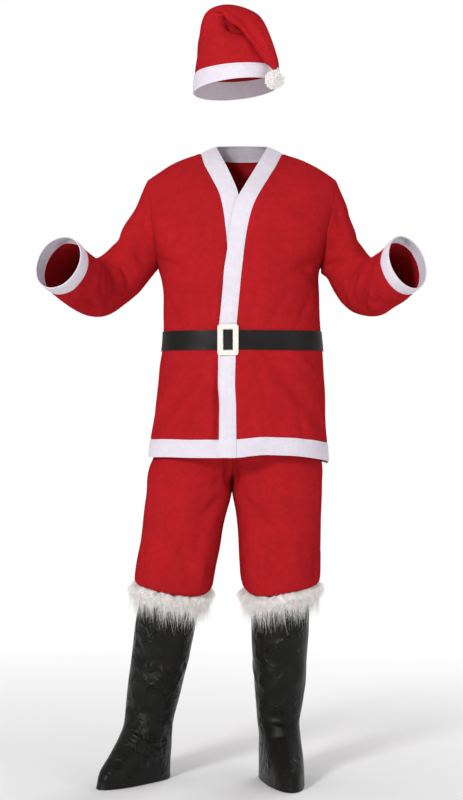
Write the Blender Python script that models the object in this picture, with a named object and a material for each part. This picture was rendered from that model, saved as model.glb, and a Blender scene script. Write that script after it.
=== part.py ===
"""Santa suit, worn and hollow: hat, jacket with its belt, trousers and boot covers.

Every piece is a cloth wall. Its outer face is a grid of points worked out from tables of
sections, and its inner face is that grid moved in by the wall's thickness. Tables are in
millimetres. The origin is the middle of the neck, the front faces -Y, and +Z is up.
"""
import math

import bmesh
import bpy
from mathutils import Vector

MM = 0.001
SEAM = 0.3 * MM             # gap between two pieces at a seam
FELT = 1.6 * MM             # wall of the red felt
TRIM = 2.6 * MM             # wall of the white felt strips, which are folded double
TRIM_PROUD = 1.0 * MM       # how far the white strips stand out from the red felt
BELT_WALL = 2.0 * MM
VINYL = 1.6 * MM            # wall of the boot covers
LAP = 5.8 * MM              # how far the left front lies out over the right front

FRONT_PARTS = 8             # panel columns from the front strip to the side seam
NECK_PARTS = 3              # back columns from the middle to the neck strip
STRIP_PARTS = 2             # columns across a white strip
YOKE_ROWS = 7               # rows from the underarm to the shoulder
LEG_PARTS = 6               # trouser columns from the middle seam to the side seam
ROUNDNESS = 2.4             # exponent of the body's oval sections

# Jacket sections below the underarm, hem first: height, the two sides, front and back depth.
TORSO = [
    # z,   right side, left side, front, back
    (-742, -223, 211, 154, 145),
    (-698, -220, 208, 152, 142),
    (-655, -214, 205, 149, 137),
    (-610, -210, 203, 147, 132),
    (-565, -206, 202, 145, 128),
    (-522, -202, 200, 143, 124),
    (-481, -196, 197, 140, 121),
    (-434, -193, 193, 139, 119),
    (-390, -192, 191, 137, 118),
    (-345, -192, 189, 135, 119),
    (-305, -198, 188, 133, 119),
    (-280, -205, 192, 131, 119),
]
HEM_ROW, BELT_LOW, BELT_HIGH = 1, 6, 7
# How far the hem hangs lower than its row, all round: 0 is the front's middle, 90 the left.
HEM_DROP = [
    (-180, 0), (-120, 2), (-90, -2), (-60, -5), (-35, -4), (0, -5), (22, -12), (48, -8),
    (70, 3), (90, 13), (125, 8), (155, 1), (180, 0),
]
UNDERARM = len(TORSO) - 1

# The left front's strip lies outside. Height, its free edge and its seam.
LEFT_STRIP = [
    # z,  edge x, seam x
    (-742, -55, -13.5), (-690, -55, -14), (-610, -55, -15), (-557, -59, -17.5),
    (-495, -57, -15.5), (-426, -55.5, -14), (-362, -48.5, -8), (-312, -45, -3.5), (-280, -42, 0),
]
RIGHT_STRIP = [(-742, 6, -36), (-280, 6.5, -36)]

# Strips from the underarm to the neck: edge and seam points.
LEFT_YOKE = [
    # edge x, y, z,        seam x, y, z
    (-42, -131, -280, 0, -131, -280),
    (-34.5, -128, -232, 6, -128, -230),
    (-28.5, -122, -180, 14.5, -121, -179),
    (-17.5, -111, -130, 26, -112, -138),
    (2, -97, -92, 41, -100, -106),
    (27, -71, -47, 64, -73, -64),
    (46, -43, -12, 83, -43, -30),
    (62, -4, 20, 99, -2, 3),
]
RIGHT_YOKE = [
    (6.5, -131, -280, -36, -130, -280),
    (5.5, -128, -232, -36, -127, -230),
    (0.5, -122, -180, -41, -121, -178),
    (-4.5, -112, -131, -47, -112, -137),
    (-13, -98, -92, -56.5, -99, -100),
    (-32, -73, -46, -75, -72, -62),
    (-48, -43, -12, -91, -42, -30),
    (-63, -4, 20, -101, -2, 3),
]
# Armhole from the underarm to the shoulder's tip, for the left side. The right one is wider.
ARMHOLE = [
    # x, front y, back y, z
    (192, -4, 4, -280), (195, -38, 36, -262), (201, -60, 56, -228), (208, -70, 66, -190),
    (216, -66, 64, -150), (224, -52, 52, -112), (230, -29, 31, -80), (231, 0, 0, -60),
]
RIGHT_ARMHOLE_OUT = {0: 13, 1: 12, 2: 10, 3: 8, 4: 5, 5: 2, 6: 0, 7: 0}
SHOULDER_RISE = 9           # how far the shoulder bows up between neck and tip
BACK_MIDDLE = [             # y and z of the back's middle line, underarm to neck
    (119, -280), (121, -236), (122, -192), (120, -150), (115, -110), (107, -72), (96, -36), (82, -8),
]
NECK_EDGE_BACK = (0, 57, 30)    # free edge of the neck strip at the back's middle

# Sleeve rings after the armhole: centre, reach up and across, the degrees that the ring
# turns to the front, and the degrees that its upper side leans along the arm.
RIGHT_SLEEVE = [
    # x,   y,   z,    up, across, turn, lean
    (-235, -2, -206, 84, 64, 0, 16), (-248, -4, -226, 78, 64, 0, 19),
    (-262, -7, -246, 76, 64, 2, 19), (-278, -11, -269, 74, 65, 5, 18),
    (-298, -18, -292, 73, 66, 12, 14), (-320, -31, -313, 72, 67, 22, 9),
    (-341, -53, -326, 71, 68, 35, 3), (-359, -84, -328, 70, 68, 46, -4),
    (-376, -118, -321, 68, 67, 53, -10), (-394, -152, -309, 66, 65, 56, -15),
    (-415, -193, -291.5, 65, 64, 57, -18), (-431, -222, -279, 66, 64, 57, -20),
]
LEFT_SLEEVE = [
    (224, -2, -206, 90, 62, 0, 20), (235, -4, -227, 80, 62, 0, 20),
    (245, -7, -248, 78, 62, 2, 20), (256, -11, -270, 76, 63, 5, 20),
    (269, -18, -292, 76, 65, 12, 17), (286, -31, -313, 74, 67, 22, 12),
    (303, -54, -325, 71, 68, 35, 4), (319, -86, -327, 70, 68, 45, -3),
    (335, -120, -320, 68, 66, 50, -9), (352, -153, -308, 66, 63, 52, -14),
    (372, -193, -291.5, 65, 61, 52, -17), (386, -221, -279, 66, 58, 52, -19),
]

# Trouser rows above the crotch, on the hips, and below it, a row for each leg section.
HIPS = [
    # z,  right side, left side, front, back
    (-415, -160, 160, 112, 98), (-450, -164, 163, 115, 100), (-520, -173, 170, 119, 108),
    (-590, -186, 178, 122, 116), (-660, -201, 187, 125, 120), (-725, -212.4, 195, 126, 119),
    (-765, -224, 199, 124, 116), (-795, -230, 199, 119, 114),
]
CROTCH_X = -24.5
LEGS = [
    # z,  right out, right in, left in, left out, front, back
    (-825, -235, CROTCH_X, CROTCH_X, 198, 113, 109),
    (-868, -240.5, -34, -17, 197, 108, 105),
    (-915, -247, -45, -13, 195, 103, 101),
    (-960, -253.5, -53, -10, 194, 100, 99),
    (-1000, -259, -61, -7, 194, 98, 97),
    (-1034, -263, -67, -4.5, 193.5, 96, 96),
    (-1056, -264, -72, 1, 191, 93, 93),
    (-1064, -260, -80, 9, 186, 88, 88),
]
# Height of the trousers' front hem over its row: 0 is the inseam, 1 the side seam.
HEM_LINE = [(0, 2), (0.08, -9), (0.25, -10), (0.42, -7), (0.6, 0), (0.81, 8.5), (1, 17)]
HEM_PULL = [0, 0, 0, 0, 0.25, 0.6, 0.94, 1]     # how far each leg row follows that line

# Boot cover rows: height, centre, half width, toe and heel reach.
RIGHT_BOOT = [
    # z,    x,    y, half width, toe, heel
    (-1048, -171, 2, 76, 77, 76), (-1090, -177, 2, 76, 77, 76), (-1140, -186, 3, 74, 75, 75),
    (-1190, -194, 4, 72, 73, 74), (-1240, -202, 6, 70, 70, 72), (-1290, -212, 7, 67, 67, 69),
    (-1340, -221, 8, 63, 64, 65), (-1385, -227, 8, 59, 66, 62), (-1420, -230, 8, 56, 90, 62),
    (-1455, -232, 8, 55, 128, 64), (-1490, -234, 8, 54, 168, 66), (-1526, -234, 8, 53, 182, 66),
]
LEFT_BOOT = [
    (-1048, 95, 2, 74, 76, 75), (-1090, 94, 2, 73, 76, 75), (-1140, 93, 3, 71, 74, 74),
    (-1190, 93, 4, 69, 72, 73), (-1240, 93, 6, 66, 69, 71), (-1290, 93, 7, 63, 66, 68),
    (-1340, 92, 8, 57, 63, 64), (-1385, 89, 8, 52, 66, 61), (-1420, 92, 8, 51, 92, 61),
    (-1455, 93, 8, 52, 130, 63), (-1490, 93, 8, 52, 170, 65), (-1526, 93, 8, 52, 184, 65),
]
RIGHT_TOE, LEFT_TOE = -36, 8    # degrees that the toes turn out to +X


# Largest folds: each runs between two points, with its reach to each side and its height.
FOLDS = [
    # x, y, z,          x, y, z,          reach, height
    (-66, -146, -527, -190, -85, -640, 17, -8), (-78, -146, -560, -196, -92, -678, 17, 8),
    (-70, -150, -600, -150, -128, -700, 15, -7), (70, -148, -520, 165, -110, -625, 19, -7),
    (80, -148, -565, 180, -105, -680, 19, 7), (-120, 128, -500, -60, 138, -690, 20, -8),
    (60, 130, -500, 130, 128, -690, 20, -8), (0, 126, -520, 10, 142, -700, 18, 7),
    (-207, -60, -262, -120, -124, -300, 17, -7), (200, -60, -262, 120, -124, -300, 17, -7),
    (-207, 60, -262, -120, 114, -310, 18, -8), (200, 60, -262, 120, 114, -310, 18, -8),
    (-190, -70, -400, -110, -130, -380, 15, -5), (185, -75, -395, 110, -130, -375, 15, -5),
    (-318, -92, -268, -250, -66, -300, 15, -9), (-330, -105, -272, -318, -98, -372, 15, -9),
    (-345, -118, -262, -372, -158, -372, 15, -8), (-300, 30, -262, -345, 35, -340, 16, 7),
    (-262, -62, -190, -228, -60, -280, 16, -7), (-300, -40, -200, -262, 50, -262, 16, -5),
    (282, -92, -268, 222, -66, -300, 15, -9), (292, -105, -272, 280, -98, -372, 15, -9),
    (305, -118, -262, 330, -158, -372, 15, -8), (265, 30, -262, 305, 35, -340, 16, 7),
    (246, -62, -190, 212, -60, -280, 16, -7), (280, -40, -200, 245, 50, -262, 16, -5),
    (-30, -116, -790, -120, -116, -752, 16, -8), (-34, -100, -830, -110, -108, -900, 16, -8),
    (-18, -116, -790, 80, -114, -752, 16, -8), (-14, -100, -830, 60, -108, -905, 16, -8),
    (-34, 100, -830, -130, 108, -880, 18, -9), (-14, 100, -830, 90, 108, -880, 18, -9),
    (-160, -102, -950, -205, -92, -1040, 17, 7), (110, -102, -945, 150, -92, -1040, 17, 7),
    (-120, -100, -1040, -150, -102, -930, 17, -7), (60, -98, -1040, 85, -102, -925, 17, -7),
    (-180, 98, -1030, -150, 102, -930, 18, -7), (90, 98, -1030, 70, 102, -930, 18, -7),
    (-255, -20, -1215, -160, -62, -1245, 14, -5), (-265, -10, -1290, -170, -58, -1262, 14, 5),
    (-280, -10, -1345, -190, -52, -1372, 14, -7), (-262, 50, -1380, -190, 60, -1362, 15, -7),
    (30, -40, -1220, 140, -50, -1246, 14, -5), (35, -40, -1300, 145, -40, -1282, 14, 5),
    (40, -48, -1362, 138, -45, -1382, 14, -7), (50, 58, -1350, 130, 62, -1372, 15, -7),
]


def at(x, y, z):
    return Vector((x, y, z)) * MM


def smooth(value):
    value = min(max(value, 0.0), 1.0)
    return value * value * (3 - 2 * value)


def between(table, height):
    """Row of a table with heights in its first column, read at any height."""
    rows = sorted(table)
    height = min(max(height, rows[0][0]), rows[-1][0])
    for low, high in zip(rows, rows[1:]):
        if height <= high[0]:
            part = (height - low[0]) / (high[0] - low[0])
            return [a + (b - a) * part for a, b in zip(low, high)]
    return list(rows[-1])


def oval(angle, middle, half, depth, height):
    """Point of an oval section: 0 is the front's middle, 90 the left side, 180 the back."""
    turn = math.radians(angle)
    sine, cosine = math.sin(turn), math.cos(turn)
    x = middle + half * math.copysign(abs(sine) ** (2 / ROUNDNESS), sine)
    y = -depth * math.copysign(abs(cosine) ** (2 / ROUNDNESS), cosine)
    return Vector((x, y, height))


def oval_angle(x, middle, half):
    """Angle of the front half's point with this x."""
    share = (x - middle) / half
    return math.degrees(math.copysign(math.asin(min(abs(share), 1.0) ** (ROUNDNESS / 2)), share))


def normals(grid, closed=False, inside=None):
    """Outward normal at each point of a grid, turned away from the middle of its row."""
    rows, columns = len(grid), len(grid[0])
    result = []
    for i in range(rows):
        row = []
        for j in range(columns):
            if closed:
                left, right = grid[i][j - 1], grid[i][(j + 1) % columns]
            else:
                left, right = grid[i][max(j - 1, 0)], grid[i][min(j + 1, columns - 1)]
            down, up = grid[max(i - 1, 0)][j], grid[min(i + 1, rows - 1)][j]
            row.append((right - left).cross(up - down).normalized())
        result.append(row)
    i, j = rows // 2, columns // 2
    core = inside if inside else sum(grid[i], Vector()) / columns
    if result[i][j].dot(grid[i][j] - core) < 0:
        result = [[-normal for normal in row] for row in result]
    return result


class Cloth:
    """A grid of outer points with their outward normals."""

    def __init__(self, points, closed=False, inside=None):
        self.points = points
        self.closed = closed
        self.normals = normals(points, closed, inside)

    def part(self, rows, columns):
        """The stretch of the grid from the first to the last of these rows and columns."""
        piece = Cloth.__new__(Cloth)
        piece.closed = False
        chosen = range(rows[0], rows[1] + 1)
        piece.points = [self.points[i][columns[0]:columns[1] + 1] for i in chosen]
        piece.normals = [self.normals[i][columns[0]:columns[1] + 1] for i in chosen]
        return piece

    def ring(self, rows):
        piece = Cloth.__new__(Cloth)
        piece.closed = True
        piece.points = self.points[rows[0]:rows[1] + 1]
        piece.normals = self.normals[rows[0]:rows[1] + 1]
        return piece

    def moved(self, out):
        """The same grid with each point moved along its normal by out(point)."""
        self.points = [[point + normal * out(point) for point, normal in zip(*rows)]
                       for rows in zip(self.points, self.normals)]
        return self


def join(*corners):
    """Give the pieces that meet at a point one common normal; one named twice counts double."""
    common = sum((cloth.normals[i][j] for cloth, i, j in corners), Vector()).normalized()
    for cloth, i, j in corners:
        cloth.normals[i][j] = common


def open_seams(cloth, seams):
    """Points of a piece, drawn back by half a seam's gap along the named edges."""
    grid = [list(row) for row in cloth.points]
    rows, columns = len(grid), len(grid[0])
    for edge in seams:
        if edge in ("low", "high"):
            i, inner = (0, 1) if edge == "low" else (rows - 1, rows - 2)
            line = [(i, j, inner, j) for j in range(columns)]
        else:
            j, inner = (0, 1) if edge == "first" else (columns - 1, columns - 2)
            line = [(i, j, i, inner) for i in range(rows)]
        for number, (i, j, k, m) in enumerate(line):
            if cloth.closed:
                before, after = line[number - 1], line[(number + 1) % len(line)]
            else:
                before, after = line[max(number - 1, 0)], line[min(number + 1, len(line) - 1)]
            along = cloth.points[after[0]][after[1]] - cloth.points[before[0]][before[1]]
            across = along.cross(cloth.normals[i][j]).normalized()
            if across.dot(cloth.points[k][m] - cloth.points[i][j]) < 0:
                across = -across
            grid[i][j] = grid[i][j] + across * SEAM / 2
    return grid


def solid(name, outer, inner, finish, closed=False):
    """Closed body between an outer grid of points and an inner one."""
    rows, columns = len(outer), len(outer[0])
    across = columns if closed else columns - 1
    bm = bmesh.new()
    place = bm.verts.layers.int.new("place")
    bmesh.ops.create_grid(bm, x_segments=across, y_segments=rows - 1, size=1)
    for number, vert in enumerate(bm.verts):
        i, j = divmod(number, across + 1)
        vert[place] = i * columns + j % columns
        vert.co = outer[i][j % columns]
    bmesh.ops.remove_doubles(bm, verts=bm.verts, dist=0.001 * MM)
    made = bmesh.ops.extrude_face_region(bm, geom=bm.faces[:], use_keep_orig=True)
    for vert in made["geom"]:
        if isinstance(vert, bmesh.types.BMVert):
            i, j = divmod(vert[place], columns)
            vert.co = inner[i][j]
    return finished(name, bm, finish)


def wall(name, cloth, finish, thick, proud=0.0, seams=()):
    """Closed solid of a cloth piece: its outer grid, and that grid moved in by the wall."""
    grid = open_seams(cloth, seams)
    outer = [[p + n * proud for p, n in zip(*pair)] for pair in zip(grid, cloth.normals)]
    inner = [[p + n * (proud - thick) for p, n in zip(*pair)] for pair in zip(grid, cloth.normals)]
    return solid(name, outer, inner, finish, cloth.closed)


def finished(name, bm, finish):
    bmesh.ops.recalc_face_normals(bm, faces=bm.faces)
    if bm.calc_volume(signed=True) < 0:
        bmesh.ops.reverse_faces(bm, faces=bm.faces)
    bmesh.ops.triangulate(bm, faces=bm.faces, quad_method="SHORT_EDGE")
    mesh = bpy.data.meshes.new(name)
    bm.to_mesh(mesh)
    bm.free()
    mesh.materials.append(finish)
    mesh.shade_smooth()
    mesh.set_sharp_from_angle(angle=math.radians(40))
    piece = bpy.data.objects.new(name, mesh)
    bpy.context.collection.objects.link(piece)
    return piece


def material(name, colour, roughness):
    finish = bpy.data.materials.new(name)
    finish.use_nodes = True
    shader = finish.node_tree.nodes["Principled BSDF"]
    shader.inputs["Base Color"].default_value = (*colour, 1)
    shader.inputs["Roughness"].default_value = roughness
    return finish


# Jacket ------------------------------------------------------------------------------------

def hang(point):
    """The jacket's skirt: it hangs lower on the left and swings in soft flutes at the hem."""
    low = smooth((-520 - point.z) / 220)
    angle = math.atan2(point.x + 6, -point.y)
    flute = 1 + low * (0.014 * math.cos(5 * angle + 0.6) + 0.008 * math.cos(9 * angle))
    drop = low * between(HEM_DROP, math.degrees(angle))[1]
    return Vector((point.x * flute, point.y * flute, point.z - drop))


def front_grid(side, strip, yoke, armhole):
    """Front from its free edge to the side seam and armhole, with the strip's columns first."""
    grid = []
    for z, right, left, front, _ in TORSO:
        middle, half = (right + left) / 2, (left - right) / 2
        _, edge_x, seam_x = between(strip, z)
        edge, seam = (oval_angle(x, middle, half) for x in (edge_x, seam_x))
        angles = [edge + (seam - edge) * j / STRIP_PARTS for j in range(STRIP_PARTS)]
        angles += [seam + (90 * side - seam) * j / FRONT_PARTS for j in range(FRONT_PARTS + 1)]
        grid.append([hang(oval(angle, middle, half, front, z)) for angle in angles])
    neck, tip = Vector(yoke[-1][3:]), armhole[-1]
    for k in range(1, YOKE_ROWS + 1):
        edge, seam = Vector(yoke[k][:3]), Vector(yoke[k][3:])
        row = [edge + (seam - edge) * j / STRIP_PARTS for j in range(STRIP_PARTS)]
        row += yoke_row(grid[UNDERARM][STRIP_PARTS:], shoulder(neck, tip), seam, armhole[k],
                        k / YOKE_ROWS)
        grid.append(row)
    return grid


def shoulder(neck, tip):
    """The shoulder seam, bowed up a little between the neck and the armhole."""
    shares = [j / FRONT_PARTS for j in range(FRONT_PARTS + 1)]
    return [neck + (tip - neck) * s + Vector((0, 0, SHOULDER_RISE * 4 * s * (1 - s)))
            for s in shares]


def yoke_row(low, high, first, last, rise):
    """A row of the patch between four edges: underarm, shoulder, neck side and armhole."""
    row = []
    for j, (below, above) in enumerate(zip(low, high)):
        s = j / (len(low) - 1)
        blend = below * (1 - rise) + above * rise + first * (1 - s) + last * s
        corners = (low[0] * (1 - s) * (1 - rise) + low[-1] * s * (1 - rise)
                   + high[0] * (1 - s) * rise + high[-1] * s * rise)
        row.append(blend - corners)
    return row


def back_grid(left_neck, right_neck, left_armhole, right_armhole):
    """Back from the left side seam, round the back's middle, to the right side seam."""
    parts = NECK_PARTS + FRONT_PARTS
    grid = []
    for z, right, left, _, back in TORSO:
        middle, half = (right + left) / 2, (left - right) / 2
        angles = [90 + 90 * j / parts for j in range(2 * parts + 1)]
        grid.append([hang(oval(angle, middle, half, back, z)) for angle in angles])
    low = grid[UNDERARM]
    low_middle = low[parts]
    halves = []
    for neck, armhole, half_low in ((left_neck, left_armhole, low[parts::-1]),
                                    (right_neck, right_armhole, low[parts:])):
        top = Vector((low_middle.x * 0.3, *BACK_MIDDLE[-1]))
        high = [neck_curve(top, neck, j / NECK_PARTS) for j in range(NECK_PARTS)]
        high += shoulder(neck, armhole[-1])
        rows = []
        for k in range(1, YOKE_ROWS + 1):
            rise = k / YOKE_ROWS
            x = low_middle.x * (1 - 0.7 * rise)
            rows.append(yoke_row(half_low, high, Vector((x, *BACK_MIDDLE[k])), armhole[k], rise))
        halves.append(rows)
    for left_row, right_row in zip(*halves):
        grid.append(left_row[::-1] + right_row[1:])
    return grid


def neck_curve(middle, side, share):
    """Back neckline, a quarter oval from the back's middle to the neck's side."""
    turn = math.radians(90 * share)
    return Vector((middle.x + (side.x - middle.x) * math.sin(turn),
                   side.y + (middle.y - side.y) * math.cos(turn),
                   middle.z + (side.z - middle.z) * (1 - math.cos(turn))))


def neck_grid(back, left_front, right_front):
    """Neck strip from the back's neckline up to its free edge, from left to right."""
    low = back[-1][FRONT_PARTS:FRONT_PARTS + 2 * NECK_PARTS + 1]
    rows = [low]
    for r in range(1, STRIP_PARTS + 1):
        left, right = left_front[-1][STRIP_PARTS - r], right_front[-1][STRIP_PARTS - r]
        middle = low[NECK_PARTS].lerp(Vector(NECK_EDGE_BACK), r / STRIP_PARTS)
        half = [neck_curve(middle, left, 1 - j / NECK_PARTS) for j in range(NECK_PARTS)]
        other = [neck_curve(middle, right, j / NECK_PARTS) for j in range(NECK_PARTS + 1)]
        rows.append(half + other)
    return rows


def sleeve_grid(side, armhole_ring, table):
    """Sleeve from the armhole to its rim; each ring starts on top and goes to the front."""
    count = len(armhole_ring)
    grid = [armhole_ring]
    for x, y, z, up, across, turn, lean in table:
        turn, lean = math.radians(turn), math.radians(lean)
        facing = Vector((side * math.cos(turn), -math.sin(turn), 0))
        front = Vector((-side * math.sin(turn), -math.cos(turn), 0))
        top = Vector((0, 0, 1)) * math.cos(lean) + facing * math.sin(lean)
        row = []
        for k in range(count):
            angle = 2 * math.pi * k / count
            row.append(Vector((x, y, z)) + top * up * math.cos(angle)
                       + front * across * math.sin(angle))
        grid.append(row)
    return grid


def metres(grid):
    return [[point * MM for point in row] for row in grid]


def folded(point):
    """How far the large folds raise or sink a point of the cloth."""
    height = 0.0
    for *ends, reach, rise in FOLDS:
        start, end = at(*ends[:3]), at(*ends[3:])
        along = end - start
        share = min(max((point - start).dot(along) / along.length_squared, 0.0), 1.0)
        away = (point - start - along * share).length / (reach * MM)
        if away < 3:
            height += rise * MM * math.exp(-away * away) * math.sin(math.pi * (0.1 + 0.8 * share))
    return height


def lap(point):
    """How far the left front stands out to lie over the right one."""
    over = 1 - smooth((point.x - 20 * MM) / (80 * MM))
    return LAP * over * (1 - smooth((point.z + 112 * MM) / (90 * MM)))


def jacket(red, white, charcoal, cream):
    left_hole = [Vector((x, front, z)) for x, front, _, z in ARMHOLE]
    left_hole_back = [Vector((x, back, z)) for x, _, back, z in ARMHOLE]
    left_hole[0] = left_hole_back[0] = Vector((192, 0, -280))
    right_hole, right_hole_back = (
        [Vector((-p.x - RIGHT_ARMHOLE_OUT[k], p.y, p.z)) for k, p in enumerate(hole)]
        for hole in (left_hole, left_hole_back))
    left_points = front_grid(1, LEFT_STRIP, LEFT_YOKE, left_hole)
    right_points = front_grid(-1, RIGHT_STRIP, RIGHT_YOKE, right_hole)
    back_points = back_grid(Vector(LEFT_YOKE[-1][3:]), Vector(RIGHT_YOKE[-1][3:]),
                            left_hole_back, right_hole_back)
    neck_points = neck_grid(back_points, left_points, right_points)
    top, last, end = len(left_points) - 1, STRIP_PARTS + FRONT_PARTS, len(back_points[0]) - 1
    rings = {}
    for side, front, back_column in ((1, left_points, 0), (-1, right_points, end)):
        ring = [front[i][last] for i in range(top, UNDERARM, -1)]
        ring += [back_points[i][back_column] for i in range(UNDERARM, top)]
        rings[side] = ring
    left = Cloth(metres(left_points))
    right = Cloth(metres(right_points))
    back = Cloth(metres(back_points))
    neck = Cloth(metres(neck_points), inside=at(0, 0, 0))
    left_sleeve = Cloth(metres(sleeve_grid(1, rings[1], LEFT_SLEEVE)), closed=True)
    right_sleeve = Cloth(metres(sleeve_grid(-1, rings[-1], RIGHT_SLEEVE)), closed=True)

    for front, sleeve, column, neck_column in ((left, left_sleeve, 0, 0),
                                               (right, right_sleeve, end, 2 * NECK_PARTS)):
        step = 1 if column == 0 else -1
        for i in range(UNDERARM):
            join((front, i, last), (back, i, column))
        join((front, UNDERARM, last), (back, UNDERARM, column), *[(sleeve, 0, YOKE_ROWS)] * 2)
        join((front, top, last), (back, top, column), *[(sleeve, 0, 0)] * 2)
        for k in range(1, YOKE_ROWS):
            join((front, top - k, last), (sleeve, 0, k))
            join((back, UNDERARM + k, column), (sleeve, 0, YOKE_ROWS + k))
        for m in range(1, FRONT_PARTS):
            join((front, top, STRIP_PARTS + m), (back, top, column + step * (FRONT_PARTS - m)))
        join((front, top, STRIP_PARTS), (back, top, column + step * FRONT_PARTS),
             (neck, 0, neck_column))
        for r in range(1, STRIP_PARTS + 1):
            join((front, top, STRIP_PARTS - r), (neck, r, neck_column))
    for c in range(1, 2 * NECK_PARTS):
        join((back, top, FRONT_PARTS + c), (neck, 0, c))
    for cloth in (left, right, back, left_sleeve, right_sleeve):
        cloth.moved(folded)
    left.moved(lap)

    body = (HEM_ROW, top)
    for name, front in (("left", left), ("right", right)):
        wall(f"jacket_front_{name}", front.part(body, (STRIP_PARTS, last)), red, FELT,
             seams=("low", "high", "first", "last"))
        wall(f"front_band_{name}", front.part((0, top), (0, STRIP_PARTS)), white, TRIM,
             TRIM_PROUD, seams=("high", "last"))
    wall("jacket_back", back.part(body, (0, end)), red, FELT, seams=("low", "high", "first", "last"))
    wall("neck_band", neck, white, TRIM, TRIM_PROUD, seams=("low", "first", "last"))
    hem = Cloth.__new__(Cloth)
    hem.closed = False
    hem.points, hem.normals = (
        [left_row[STRIP_PARTS:] + back_row[1:-1] + right_row[:STRIP_PARTS - 1:-1]
         for left_row, back_row, right_row in zip(*(rows[:HEM_ROW + 1] for rows in sheets))]
        for sheets in ((left.points, back.points, right.points),
                       (left.normals, back.normals, right.normals)))
    wall("hem_band", hem, white, TRIM, TRIM_PROUD, seams=("high", "first", "last"))
    for name, sleeve in (("left", left_sleeve), ("right", right_sleeve)):
        rim = len(sleeve.points) - 1
        wall(f"sleeve_{name}", sleeve.ring((0, rim - 1)), red, FELT, seams=("low", "high"))
        wall(f"cuff_band_{name}", sleeve.ring((rim - 1, rim)), white, TRIM, TRIM_PROUD,
             seams=("low",))
    belt(left, right, back, last, charcoal, cream)


# Belt --------------------------------------------------------------------------------------

BELT_CLEAR = 0.4 * MM
BUCKLE = (50, 74, 13.5, 12, 4.5)    # width, height, side bars, end bars, thickness
BUCKLE_X = -34


def belt(left, right, back, last, charcoal, cream):
    """Belt laid on the jacket's own points, out over the front strip."""
    outer, inner = [], []
    for i in (BELT_LOW, BELT_HIGH):
        ring = [(left, j, TRIM_PROUD) for j in range(STRIP_PARTS + 1)]
        ring += [(left, j, 0) for j in range(STRIP_PARTS + 1, last + 1)]
        ring += [(back, j, 0) for j in range(1, len(back.points[0]) - 1)]
        ring += [(right, j, 0) for j in range(last, STRIP_PARTS, -1)]
        inside = [cloth.points[i][j] + cloth.normals[i][j] * (proud + BELT_CLEAR)
                  for cloth, j, proud in ring]
        inner.append(inside)
        outer.append([point + cloth.normals[i][j] * BELT_WALL
                      for point, (cloth, j, _) in zip(inside, ring)])
    solid("belt", outer, inner, charcoal, closed=True)
    face = min(point.y for row in outer for point in row)
    middle_z = (outer[0][1].z + outer[1][1].z) / 2
    buckle(Vector((BUCKLE_X * MM, face - SEAM, middle_z)), cream)


def rounded(width, height, radius, corner_parts=3):
    """Outline of a rectangle with round corners, from its upper right corner round."""
    outline = []
    for quarter in range(4):
        sign_x = 1 if quarter in (0, 3) else -1
        sign_z = 1 if quarter in (0, 1) else -1
        for step in range(corner_parts):
            turn = math.radians(90 * (quarter + step / (corner_parts - 1)))
            outline.append(Vector((sign_x * (width / 2 - radius) + radius * math.cos(turn), 0,
                                   sign_z * (height / 2 - radius) + radius * math.sin(turn))))
    return outline


def buckle(place, finish):
    """Plastic frame with a window, its front edges eased, flat on the belt."""
    width, height, side, end, thick = BUCKLE
    ease = 1.5
    sections = [
        (0, 0, 6), (0, thick - ease, 6), (ease, thick, 5),
        (side - ease, thick, 2.5), (side, thick - ease, 2), (side, 0, 2),
    ]
    bm = bmesh.new()
    rings = []
    for inset, out, radius in sections:
        tall = height - 2 * inset * end / side
        ring = [bm.verts.new(place + (point - Vector((0, out, 0))) * MM)
                for point in rounded(width - 2 * inset, tall, radius)]
        rings.append(ring)
    for one, other in zip(rings, rings[1:] + rings[:1]):
        for k in range(len(one)):
            near = (k + 1) % len(one)
            bm.faces.new((one[k], one[near], other[near], other[k]))
    finished("buckle", bm, finish)


# Trousers ----------------------------------------------------------------------------------

HIP_TOP = -725      # below this height the hips part into legs
WAIST_ROW = 1


def hem_lift(share, front):
    """Height of the hem over its row; the hidden back runs straight from seam to seam."""
    if front:
        return between(HEM_LINE, share)[1]
    return HEM_LINE[0][1] + (HEM_LINE[-1][1] - HEM_LINE[0][1]) * share


def leg_grids(side):
    """Front from the middle to the side, and back from the side to the middle."""
    crotch = LEGS[0]
    fronts, backs = [], []
    for z, right, left, front, back in HIPS:
        middle = -2 + (CROTCH_X + 2) * smooth((-415 - z) / 420)
        out = left if side > 0 else right
        part = smooth((HIP_TOP - z) / (HIP_TOP - crotch[0]))
        leg_out = crotch[4] if side > 0 else crotch[1]
        hips = [(90 * k / LEG_PARTS, 180 * k / LEG_PARTS) for k in range(LEG_PARTS + 1)]
        rows = []
        for sign, depth, leg_depth in ((1, front, crotch[5]), (-1, back, crotch[6])):
            row = []
            for angle, leg_angle in hips:
                hip = oval(angle, middle, out - middle, depth * sign, z)
                leg = leg_point(leg_angle, middle, leg_out, leg_depth * sign, z)
                row.append(hip.lerp(leg, part))
            rows.append(row)
        fronts.append(rows[0])
        backs.append(rows[1][::-1])
    for number, (z, right_out, right_in, left_in, left_out, front, back) in enumerate(LEGS):
        inner, outer = (left_in, left_out) if side > 0 else (right_in, right_out)
        angles = [180 * k / LEG_PARTS for k in range(LEG_PARTS + 1)]
        for rows, depth in ((fronts, front), (backs, -back)):
            row = [leg_point(a, inner, outer, depth, z) for a in angles]
            for point in row:
                share = (point.x - inner) / (outer - inner)
                point.z += HEM_PULL[number] * hem_lift(share, depth > 0)
            rows.append(row if depth > 0 else row[::-1])
    return fronts, backs


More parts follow.
